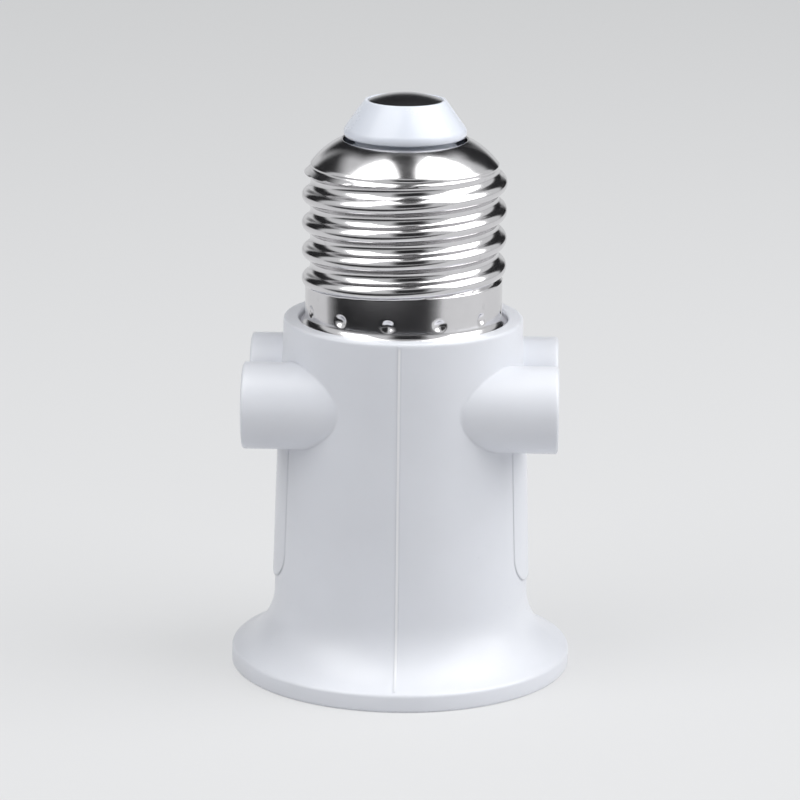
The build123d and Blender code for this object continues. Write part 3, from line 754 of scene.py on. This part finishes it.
def body_form(body):
    """Outer form of the moulding, solid inside, with its rim, recess and neck."""
    wall = flare(body, 0)
    recess = body.height - body.recess
    foot = (FLANGE, 0)
    rim_inner = (body.rim_inner, body.height)
    inside = [rim_inner, (body.rim_inner, recess), (body.neck_radius, recess)]
    inside += [(body.neck_radius, body.neck_collar), (body.neck_upper, body.neck_collar)]
    inside += [(body.neck_upper, HOUSING_HIGH.z), (0, HOUSING_HIGH.z)]
    inside += [(0, body.foot_width), (FLANGE - 2 * body.foot_width, 0)]
    rounds = [
        (foot, body.foot_round, ROUND_STEPS),
        (wall[0], body.lip_round, ROUND_STEPS),
        (wall[-1], body.rim_round, ROUND_STEPS),
        (rim_inner, body.rim_round / 2, ROUND_STEPS),
    ]
    rows = [(wall[-2], wall[-1], WALL_ROWS)]
    return turned([foot] + wall + inside, body.turn_steps, rounds, rows)


def hollow_form(body):
    """Bell mouth, chamber, lead hole and neck bore, as one form to cut away."""
    foot_inner = FLANGE - body.foot_width
    below = -body.foot_width
    above = HOUSING_HIGH.z + body.foot_width
    recess = body.height - body.recess
    waist = (body.bore_radius, body.flare_top)
    bell = tangent_arc(waist, (foot_inner, body.foot_round), (0, -1), ARC_STEPS)
    outline = [(0, below), (foot_inner, below)] + bell[::-1]
    outline += [(body.bore_radius, body.deck_height), (body.lead_hole, body.deck_height)]
    outline += [(body.lead_hole, recess), (body.neck_bore, recess), (body.neck_bore, above), (0, above)]
    return turned(outline, body.turn_steps)


def barrel_bars(body):
    """Two bars that make the four barrels, rounded at their ends."""
    place = (0, body.barrel_spacing / 2, body.barrel_height)
    bm = twin_bars(body.barrel_radius, 2 * body.barrel_reach, place, True, BARREL_STEPS)
    rims = [edge for edge in bm.edges if abs(edge.verts[0].co.x - edge.verts[1].co.x) < MERGE]
    offset = body.barrel_round
    bmesh.ops.bevel(
        bm, geom=rims, offset=offset, affect="EDGES", segments=ROUND_STEPS, profile=0.5, material=-1
    )
    lengthwise = [edge for edge in bm.edges if edge.calc_length() > body.barrel_reach]
    bmesh.ops.subdivide_edges(bm, edges=lengthwise, cuts=BARREL_ROWS, use_grid_fill=True)
    return bm


def side_pads(body):
    """Slab of a cone whose two ends are the raised pads under the barrels."""
    low, high = body.pad_foot, body.barrel_height
    low_radius, high_radius = (wall_radius(body, height) + body.pad_proud for height in (low, high))
    bm = turned([(0, low), (low_radius, low), (high_radius, high), (0, high)], body.turn_steps)
    bmesh.ops.scale(bm, verts=bm.verts[:], vec=(1, body.pad_crown, 1))
    half = body.pad_width / 2
    slab(bm, (0, 1, 0), half)
    for side in SIDES:
        centre = Vector((0, side * (half - body.pad_corner), low + body.pad_corner))
        for step in range(1, CORNER_STEPS):
            down = QUARTER_TURN * step / CORNER_STEPS
            normal = Vector((0, side * math.cos(down), -math.sin(down)))
            trim(bm, centre + normal * body.pad_corner, normal)
    return bm


def parting_line(body):
    """Thin slab whose edges are the parting line on the front and back."""
    reach = FLANGE - body.lip_round
    wall = [point for point in flare(body, body.seam_proud) if point[0] < reach]
    top = body.height - body.rim_round
    wall[-1] = (wall_radius(body, top) + body.seam_proud, top)
    bm = turned([(0, wall[0][1])] + wall + [(0, top)], body.turn_steps)
    slab(bm, (1, 0, 0), body.seam_width / 2)
    return bm


def flat_slots(body):
    """Flat slots of both outlets."""
    sizes = (4 * body.barrel_reach, body.slot_width, body.slot_height)
    return twin_blocks(sizes, (0, body.slot_spacing / 2, body.barrel_height))


def round_holes(body):
    """Round pin holes of both outlets."""
    place = (0, body.pin_spacing / 2, body.barrel_height)
    return twin_bars(body.pin_radius, 4 * body.barrel_reach, place, True, HOLE_STEPS)


def post_length(body):
    """Length of the posts from the carrier up into the deck."""
    return body.height - body.recess - OVERLAP - CARRIER_TOP


def screw_posts(body):
    """Posts under the deck that the carrier's screws go into."""
    length = post_length(body)
    place = (body.post_reach, 0, CARRIER_TOP + length / 2)
    return twin_bars(body.post_radius, length, place, False, POST_STEPS)


def post_ribs(body):
    """Ribs between the posts and the wall, which start above the posts' ends."""
    length = post_length(body)
    width = body.bore_radius - body.post_reach + OVERLAP
    place = (body.post_reach + width / 2, 0, CARRIER_TOP + (length + OVERLAP) / 2)
    return twin_blocks((width, body.post_rib, length - OVERLAP), place)


class ADAPTER_OT_housing(bpy.types.Operator):
    """Models the white moulding with its barrels, pads and parting line"""

    bl_idname = "adapter.housing"
    bl_label = "Housing"

    def execute(self, context):
        body = context.scene.adapter_body
        finish = context.scene.adapter_finish
        piece = to_object(body_form(body), "white_housing")
        for form in (barrel_bars, side_pads, parting_line):
            carve(piece, form(body), "UNION")
        for form in (hollow_form, flat_slots, round_holes):
            carve(piece, form(body), "DIFFERENCE")
        for form in (screw_posts, post_ribs):
            carve(piece, form(body), "UNION")
        material = plastic(
            "white_moulding", finish.moulding, gloss=0.3, subsurface=0.1, edge=body.edge_round
        )
        # Painted highlight on the parting line's ridge and painted shade at its sides
        self.paint_seam_highlight_and_shade(material, body, finish)
        finish_piece(piece, material, "white_plastic", FIXED_BODY, "housing")
        return {"FINISHED"}

    def paint_seam_highlight_and_shade(self, material, body, finish):
        """Paints a highlight along the ridge of the parting line and paints shade on both of its sides."""
        tree = Tree(material.node_tree)
        shader = next(node for node in tree.tree.nodes if node.type == "BSDF_PRINCIPLED")
        skin = shader.inputs["Base Color"].links[0].from_socket
        where = tree.node("ShaderNodeTexCoord").outputs
        place, facing = tree.split(where["Object"]), tree.split(where["Normal"])
        outside = tree.ramp(tree.product(place["Y"], facing["Y"]), 0.0, SEAM_FADE)
        foot = tree.ramp(place["Z"], body.flange_edge, body.flange_edge + SEAM_FADE)
        rim = tree.ramp(place["Z"], body.height - MM, body.height - body.rim_round, 1.0, 0.0)
        shown = tree.product(outside, foot, rim)
        aside = tree.math("ABSOLUTE", place["X"])
        full, edge, end = (reach * body.seam_width / 2 for reach in SEAM_REACHES)
        # Painted highlight along the ridge and painted shade on both sides, mixed into the moulding's
        # colour
        ridge = tree.product(tree.ramp(aside, full, edge, 1.0, 0.0), shown)
        sides = tree.product(tree.ramp(aside, edge, end, SEAM_SHADED, 0.0), shown)
        shaded = tree.blend(sides, skin, darker(finish.moulding, SEAM_SHADE))
        tree.link(tree.blend(ridge, shaded, finish.seam), shader.inputs["Base Color"])


class ADAPTER_OT_screw_cap(bpy.types.Operator):
    """Models the rolled cap with its thread, hem, dents and shoulder"""

    bl_idname = "adapter.screw_cap"
    bl_label = "Screw cap"

    def execute(self, context):
        cap = context.scene.adapter_cap
        finish = context.scene.adapter_finish
        core = cap.crest_radius - cap.depth
        inner = core - cap.sheet
        hem = CAP_HIGH.x
        lip_top = CAP_LOW.z + cap.hem_lip
        mouth = (cap.mouth_radius, cap.mouth_height)
        shoulder = (core, cap.shoulder_height)
        thread_low = (core, cap.skirt_top + cap.skirt_radius - core)
        skirt_high = (cap.skirt_radius, cap.skirt_top)
        skirt_low = (cap.skirt_radius, CAP_LOW.z + cap.hem_height)
        outline = bowed(shoulder, mouth, cap.shoulder_bow, SHOULDER_ROWS)[::-1]
        outline += [thread_low, skirt_high]
        outline += tangent_arc(skirt_low, (hem, lip_top), (0, -1), HEM_ROWS)
        outline += [(hem, CAP_LOW.z), (hem - cap.sheet, CAP_LOW.z), (hem - cap.sheet, lip_top)]
        outline += [(inner, skirt_low[1]), (inner, cap.shoulder_height - cap.sheet)]
        outline += [(cap.mouth_radius, cap.mouth_height - cap.sheet)]
        rows = [
            (shoulder, thread_low, cap.thread_rows),
            (thread_low, skirt_high, FADE_ROWS),
            (skirt_high, skirt_low, SKIRT_ROWS),
        ]
        bm = turned(outline, cap.turn_steps, [(mouth, cap.mouth_round, LIP_STEPS)], rows)
        press_dents(bm, cap)
        low = cap.skirt_top - cap.run_out
        high = cap.shoulder_height - cap.sheet
        roll_thread(bm, cap, cap.crest_radius, cap.first_crest, low, high)
        piece = to_object(bm, "rolled_cap")
        material = metal("bright_nickel", finish.nickel, gloss=0.1)
        finish_piece(piece, material, "nickelled_cap", FIXED_BODY, "screw_cap", crease=THREAD_CREASE)
        return {"FINISHED"}


class ADAPTER_OT_cap_insulator(bpy.types.Operator):
    """Models the white bush in the cap's mouth"""

    bl_idname = "adapter.cap_insulator"
    bl_label = "Cap insulator"

    def execute(self, context):
        cap = context.scene.adapter_cap
        finish = context.scene.adapter_finish
        wall = cap.insulator_wall
        edge = cap.insulator_edge
        waist = cap.insulator_waist
        top = INSULATOR_HIGH.z
        foot = INSULATOR_HIGH.x
        seat = top - cap.tip_seat
        seat_radius = TIP_HIGH.x + cap.fit
        stem = cap.tip_stem + cap.fit
        low = cap.mouth_height - 2 * cap.sheet
        inner_lip = (seat_radius, top)
        outer_lip = (cap.insulator_top, top)
        bulge = (cap.insulator_radius, edge + cap.insulator_bulge)
        under = (cap.insulator_radius - cap.insulator_undercut, edge)
        outline = [(stem, seat), (seat_radius, seat), inner_lip, outer_lip, bulge, under]
        outline += [(waist, edge), (waist, low), (foot, low - (foot - waist) * cap.insulator_slope)]
        outline += [(foot, INSULATOR_LOW.z), (foot - wall, INSULATOR_LOW.z), (waist - wall, low - wall)]
        outline += [(cap.insulator_top - wall, seat - wall), (stem, seat - wall)]
        rounds = [
            (inner_lip, cap.lip_inner_round, FINE_STEPS),
            (outer_lip, cap.lip_outer_round, LIP_STEPS),
            (bulge, cap.bulge_round, BULGE_STEPS),
            (under, cap.under_round, ROUND_STEPS),
        ]
        piece = to_object(turned(outline, cap.turn_steps // 2, rounds), "white_bush")
        material = plastic("white_bush", finish.insulator, gloss=0.24, subsurface=0.12)
        finish_piece(piece, material, "insulator_plastic", FIXED_BODY, "cap_insulator")
        return {"FINISHED"}


class ADAPTER_OT_tip_contact(bpy.types.Operator):
    """Models the domed contact on top of the cap, with its riveted stem"""

    bl_idname = "adapter.tip_contact"
    bl_label = "Tip contact"

    def execute(self, context):
        cap = context.scene.adapter_cap
        finish = context.scene.adapter_finish
        edge = (TIP_HIGH.x, TIP_HIGH.z - cap.tip_crown)
        seat = INSULATOR_HIGH.z - cap.tip_seat
        roof = seat - cap.insulator_wall
        outline = tangent_arc((0, TIP_HIGH.z), edge, (1, 0), ARC_STEPS)
        outline += [(TIP_HIGH.x, seat), (cap.tip_stem, seat), (cap.tip_stem, roof), (cap.tip_rivet, roof)]
        outline += [(cap.tip_rivet, TIP_LOW.z), (cap.tip_bore, TIP_LOW.z), (cap.tip_bore, seat), (0, seat)]
        rounds = [(edge, cap.tip_round, LIP_STEPS)]
        piece = to_object(turned(outline, cap.turn_steps // 3, rounds), "domed_tip")
        material = metal("dulled_plate", finish.tip, gloss=0.16)
        finish_piece(piece, material, "nickelled_tip", FIXED_BODY, "tip_contact")
        return {"FINISHED"}


class ADAPTER_OT_lamp_shell(bpy.types.Operator):
    """Models the rolled sleeve that a lamp screws into"""

    bl_idname = "adapter.lamp_shell"
    bl_label = "Lamp shell"

    def execute(self, context):
        cap = context.scene.adapter_cap
        socket = context.scene.adapter_socket
        finish = context.scene.adapter_finish
        crest = cap.crest_radius + socket.play
        root = crest - cap.depth
        outer = SHELL_HIGH.x
        under = SHELL_HIGH.z - cap.sheet
        lip_top = (crest, SHELL_LOW.z + socket.lip)
        thread_low = (root, lip_top[1] + cap.depth)
        thread_high = (root, under)
        outline = [(crest, SHELL_LOW.z), lip_top, thread_low, thread_high]
        outline += [(socket.flange_hole, under), (socket.flange_hole, SHELL_HIGH.z)]
        outline += [(root + cap.sheet, SHELL_HIGH.z), (outer, SHELL_HIGH.z - cap.depth)]
        outline += [(outer, SHELL_LOW.z)]
        rows = [(thread_low, thread_high, socket.thread_rows), (lip_top, thread_low, LIP_ROWS)]
        bm = turned(outline, socket.turn_steps, rows=rows)
        roll_thread(bm, cap, crest, socket.first_crest, lip_top[1] - cap.sheet / 2, under - socket.lip)
        piece = to_object(bm, "threaded_sleeve")
        material = metal("socket_aluminium", finish.socket, gloss=0.2)
        finish_piece(piece, material, "socket_metal", FIXED_BODY, "lamp_shell", crease=THREAD_CREASE)
        return {"FINISHED"}


class ADAPTER_OT_plunger(bpy.types.Operator):
    """Models the sprung centre contact and its spring"""

    bl_idname = "adapter.plunger"
    bl_label = "Centre contact"

    def execute(self, context):
        socket = context.scene.adapter_socket
        finish = context.scene.adapter_finish
        button = to_object(self.button(socket), "sprung_button")
        brass = metal("button_brass", finish.brass, gloss=0.22)
        finish_piece(button, brass, "contact_brass", MOVING_BODY, "centre_contact")
        spring = to_object(self.coil(socket), "coil_spring")
        steel = metal("spring_wire", finish.steel, gloss=0.25)
        finish_piece(spring, steel, "spring_steel", FIXED_BODY, "contact_spring")
        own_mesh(spring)
        return {"FINISHED"}

    def button(self, socket):
        """Button with a collar and a spring guide."""
        button = (socket.button_radius, CONTACT_LOW.z)
        guide = (socket.guide_radius, CONTACT_HIGH.z)
        outline = [(0, CONTACT_LOW.z), button, (socket.button_radius, socket.collar_height)]
        outline += [(CONTACT_HIGH.x, socket.collar_height), (CONTACT_HIGH.x, socket.collar_top)]
        outline += [(socket.guide_radius, socket.collar_top), guide, (0, CONTACT_HIGH.z)]
        rounds = [(button, socket.button_round, FACE_STEPS), (guide, socket.guide_round, FINE_STEPS)]
        return turned(outline, BUTTON_STEPS, rounds)

    def coil(self, socket):
        """Round wire spun up the spring's helix."""
        bm = bmesh.new()
        wire = socket.spring_wire / 2
        rise = SPRING_HIGH.z - SPRING_LOW.z - socket.spring_wire
        steps = COIL_STEPS * socket.spring_turns
        start = Matrix.Translation((SPRING_HIGH.x - wire, 0, SPRING_LOW.z + wire))
        place = start @ Matrix.Rotation(QUARTER_TURN, 4, "X")
        bmesh.ops.create_circle(bm, cap_ends=True, segments=WIRE_SIDES, radius=wire, matrix=place)
        spin(bm, steps, socket.spring_turns, rise)
        return bm


class ADAPTER_OT_fasteners(bpy.types.Operator):
    """Models the carrier's screws and the rivet, and finishes the live contact's screws"""

    bl_idname = "adapter.fasteners"
    bl_label = "Fasteners"

    def execute(self, context):
        reach = context.scene.adapter_body.post_reach
        seat = SHELL_HIGH.z - context.scene.adapter_cap.sheet
        socket = context.scene.adapter_socket
        finish = context.scene.adapter_finish
        zinc = metal("zinc_plate", finish.steel, gloss=0.28)
        brass = metal("rivet_brass", finish.brass, gloss=0.25)
        screws = to_object(self.screws(socket, reach, seat), "slotted_screws")
        carve(screws, self.slots(socket, reach), "DIFFERENCE")
        finish_piece(screws, zinc, "zinced_steel", FIXED_BODY, "carrier_screws")
        rivet = to_object(self.rivet(socket), "socket_rivet")
        finish_piece(rivet, brass, "contact_brass", FIXED_BODY, "neutral_rivet")
        dress_nodes(zinc, "live_screws")
        return {"FINISHED"}

    def screws(self, socket, reach, seat):
        """Two screws with rounded heads, point up."""
        head = (socket.screw_head, SCREWS_LOW.z)
        outline = [(0, SCREWS_LOW.z), head, (socket.screw_head, seat), (socket.screw_radius, seat)]
        outline += [(socket.screw_radius, SCREWS_HIGH.z), (0, SCREWS_HIGH.z)]
        bm = turned(outline, FASTENER_STEPS, [(head, socket.screw_round, HEAD_STEPS)])
        bmesh.ops.translate(bm, verts=bm.verts[:], vec=(reach, 0, 0))
        made = bmesh.ops.duplicate(bm, geom=bm.verts[:] + bm.edges[:] + bm.faces[:])
        twin = [item for item in made["geom"] if isinstance(item, bmesh.types.BMVert)]
        bmesh.ops.translate(bm, verts=twin, vec=(-2 * reach, 0, 0))
        return bm

    def slots(self, socket, reach):
        """Slots across the screws' heads, turned a little differently."""
        sizes = (socket.screw_slot, 3 * socket.screw_head, 2 * socket.screw_slot)
        leans = (socket.left_lean, socket.right_lean)
        return twin_blocks(sizes, (reach, 0, SCREWS_LOW.z), leans)

    def rivet(self, socket):
        """Rivet with a head at each end."""
        low, high = RIVET_LOW.z + socket.rivet_rise, RIVET_HIGH.z - socket.rivet_rise
        tail = (socket.rivet_head, RIVET_LOW.z)
        head = (socket.rivet_head, RIVET_HIGH.z)
        outline = [(0, RIVET_LOW.z), tail, (socket.rivet_head, low), (socket.rivet_radius, low)]
        outline += [(socket.rivet_radius, high), (socket.rivet_head, high), head, (0, RIVET_HIGH.z)]
        rounds = [(place, socket.rivet_round, ROUND_STEPS) for place in (tail, head)]
        bm = turned(outline, FASTENER_STEPS, rounds)
        bmesh.ops.translate(bm, verts=bm.verts[:], vec=(0, -socket.rivet_reach, 0))
        return bm


class ADAPTER_OT_inner_pieces(bpy.types.Operator):
    """Finishes the solids inside: the carrier, the contacts and the leads"""

    bl_idname = "adapter.inner_pieces"
    bl_label = "Inner pieces"

    def execute(self, context):
        finish = context.scene.adapter_finish
        dress_nodes(plastic("carrier_moulding", finish.carrier, gloss=0.5), "contact_carrier")
        dress_nodes(metal("contact_strip", finish.brass, gloss=0.22), "live_contact", "neutral_contact")
        dress_nodes(metal("bare_wire", finish.copper, gloss=0.3), "live_wire", "neutral_wire")
        dress_nodes(plastic("live_insulation", finish.live, gloss=0.45), "live_sleeve")
        dress_nodes(plastic("neutral_insulation", finish.neutral, gloss=0.45), "neutral_sleeve")
        return {"FINISHED"}


class ADAPTER_OT_stage(bpy.types.Operator):
    """Sets the pale floor, the soft lamps, the dark cards and the camera"""

    bl_idname = "adapter.stage"
    bl_label = "Stage"

    def execute(self, context):
        studio = context.scene.adapter_studio
        for part in (self.floor, self.cards, self.background, self.lamps, self.camera):
            part(studio)
        context.scene.view_settings.view_transform = "Standard"
        return {"FINISHED"}

    def surface(self, name, bm, colour):
        """Plain matt surface of the stage. Returns its object, its node tree and its shader."""
        piece = to_object(bm, name)
        material = bpy.data.materials.new(name)
        material.use_nodes = True
        tree = Tree(material.node_tree)
        shader = tree.tree.nodes["Principled BSDF"]
        for key, value in (("Base Color", colour), ("Roughness", 0.8), ("Specular IOR Level", 0.2)):
            tree.link(value, shader.inputs[key])
        piece.data.materials.append(material)
        return piece, tree, shader

    def mixed(self, tree, factor, first, second, out):
        """Mixes two shaders by a factor into the output."""
        mix = tree.node("ShaderNodeMixShader", {"Fac": factor})
        tree.link(first.outputs[0], mix.inputs[1])
        tree.link(second.outputs[0], mix.inputs[2])
        tree.link(mix.outputs[0], out.inputs["Surface"])

    def seen(self, tree):
        """One where the camera, metal or glass sees the surface."""
        path = tree.node("ShaderNodeLightPath").outputs
        shown = tree.math("MAXIMUM", path["Is Camera Ray"], path["Is Transmission Ray"])
        return tree.math("MAXIMUM", shown, path["Is Glossy Ray"])

    def floor(self, studio):
        """Large plain floor."""
        bm = bmesh.new()
        bmesh.ops.create_grid(bm, x_segments=1, y_segments=1, size=FLOOR_HALF)
        tree, matt = self.surface("pale_floor", bm, studio.floor)[1:]
        glow = tree.node("ShaderNodeEmission", {"Color": studio.sky, "Strength": 1.0})
        shown = tree.product(self.seen(tree), studio.floor_seen)
        self.mixed(tree, shown, matt, glow, tree.tree.nodes["Material Output"])

    def cards(self, studio):
        """Dark cards with soft edges that only reflections show, so that bright metal has dark bands."""
        for name, azimuth, elevation, distance, sizes, cells in CARDS:
            place, aim = self.aimed(studio, math.radians(azimuth), math.radians(elevation), distance)
            shape = Matrix.Translation(place) @ aim.to_matrix().to_4x4() @ Matrix.Diagonal((*sizes, 1, 1))
            bm = bmesh.new()
            bmesh.ops.create_grid(bm, x_segments=cells, y_segments=cells, size=0.5, matrix=shape)
            cover = bm.verts.layers.float.new("cover")
            for vert in bm.verts:
                vert[cover] = 0.0 if vert.is_boundary else 1.0
            card, tree, matt = self.surface(name, bm, studio.card)
            card.visible_camera = False
            card.visible_diffuse = False
            card.visible_shadow = False
            kept = tree.node("ShaderNodeAttribute", attribute_name="cover").outputs["Fac"]
            clear = tree.node("ShaderNodeBsdfTransparent")
            self.mixed(tree, kept, clear, matt, tree.tree.nodes["Material Output"])

    def aimed(self, studio, azimuth, elevation, distance):
        """Place at angles from the front, and the turn that faces the object from there."""
        level = math.cos(elevation)
        out = Vector((math.sin(azimuth) * level, -math.cos(azimuth) * level, math.sin(elevation)))
        return Vector((0, 0, studio.target)) + out * distance, (-out).to_track_quat("-Z", "Y")

    def background(self, studio):
        """Pale world that the camera and the metal see, and a dimmer one that lights the object."""
        world = bpy.data.worlds.new("studio")
        bpy.context.scene.world = world
        world.use_nodes = True
        world.node_tree.nodes.clear()
        tree = Tree(world.node_tree)
        light, shown = (
            tree.node("ShaderNodeBackground", {"Color": studio.sky, "Strength": strength})
            for strength in (studio.sky_light, studio.sky_seen)
        )
        self.mixed(tree, self.seen(tree), light, shown, tree.node("ShaderNodeOutputWorld"))

    def stand(self, name, data, place, aim):
        """Puts a lamp or a camera in its place."""
        piece = bpy.data.objects.new(name, data)
        piece.location = place
        piece.rotation_mode = "QUATERNION"
        piece.rotation_quaternion = aim
        bpy.context.scene.collection.objects.link(piece)
        return piece

    def lamps(self, studio):
        """Large soft boxes to the left and right."""
        for name, azimuth, elevation, distance, sizes, power in LAMPS:
            data = bpy.data.lights.new(name, "AREA")
            data.shape = "RECTANGLE"
            data.size, data.size_y = sizes
            data.energy = power
            place, aim = self.aimed(studio, math.radians(azimuth), math.radians(elevation), distance)
            self.stand(name, data, place, aim)

    def camera(self, studio):
        """Camera at the picture's angle."""
        data = bpy.data.cameras.new("camera")
        data.sensor_width = SENSOR_WIDTH
        data.lens = studio.lens
        data.shift_x = studio.shift
        data.clip_start = NEAREST_SEEN
        place, aim = self.aimed(studio, studio.azimuth, studio.elevation, studio.distance)
        aim = aim @ Quaternion((0, 0, 1), studio.roll)
        bpy.context.scene.camera = self.stand("camera", data, place, aim)


OPERATORS = (
    ADAPTER_OT_housing,
    ADAPTER_OT_screw_cap,
    ADAPTER_OT_cap_insulator,
    ADAPTER_OT_tip_contact,
    ADAPTER_OT_lamp_shell,
    ADAPTER_OT_plunger,
    ADAPTER_OT_fasteners,
    ADAPTER_OT_inner_pieces,
    ADAPTER_OT_stage,
)

SETTINGS = (
    ("adapter_body", AdapterBody),
    ("adapter_cap", AdapterCap),
    ("adapter_socket", AdapterSocket),
    ("adapter_finish", AdapterFinish),
    ("adapter_studio", AdapterStudio),
)


class ADAPTER_PT_panel(bpy.types.Panel):
    """Lists the adapter's pieces and their sizes"""

    bl_idname = "ADAPTER_PT_panel"
    bl_label = "Lamp socket adapter"
    bl_space_type = "VIEW_3D"
    bl_region_type = "UI"
    bl_category = "Adapter"

    def draw(self, context):
        for operator in OPERATORS:
            self.layout.operator(operator.bl_idname)
        for name, group in SETTINGS:
            box = self.layout.box()
            for key in group.__annotations__:
                box.prop(getattr(context.scene, name), key)


def register():
    """Registers the settings, the operators and the panel."""
    for name, group in SETTINGS:
        bpy.utils.register_class(group)
        setattr(bpy.types.Scene, name, bpy.props.PointerProperty(type=group))
    for operator in OPERATORS:
        bpy.utils.register_class(operator)
    bpy.utils.register_class(ADAPTER_PT_panel)


def unregister():
    """Takes them out again."""
    bpy.utils.unregister_class(ADAPTER_PT_panel)
    for operator in reversed(OPERATORS):
        bpy.utils.unregister_class(operator)
    for name, group in reversed(SETTINGS):
        delattr(bpy.types.Scene, name)
        bpy.utils.unregister_class(group)


def main():
    """Builds the adapter."""
    register()
    for operator in OPERATORS:
        group, name = operator.bl_idname.split(".")
        getattr(getattr(bpy.ops, group), name)()


if __name__ == "__main__":
    main()
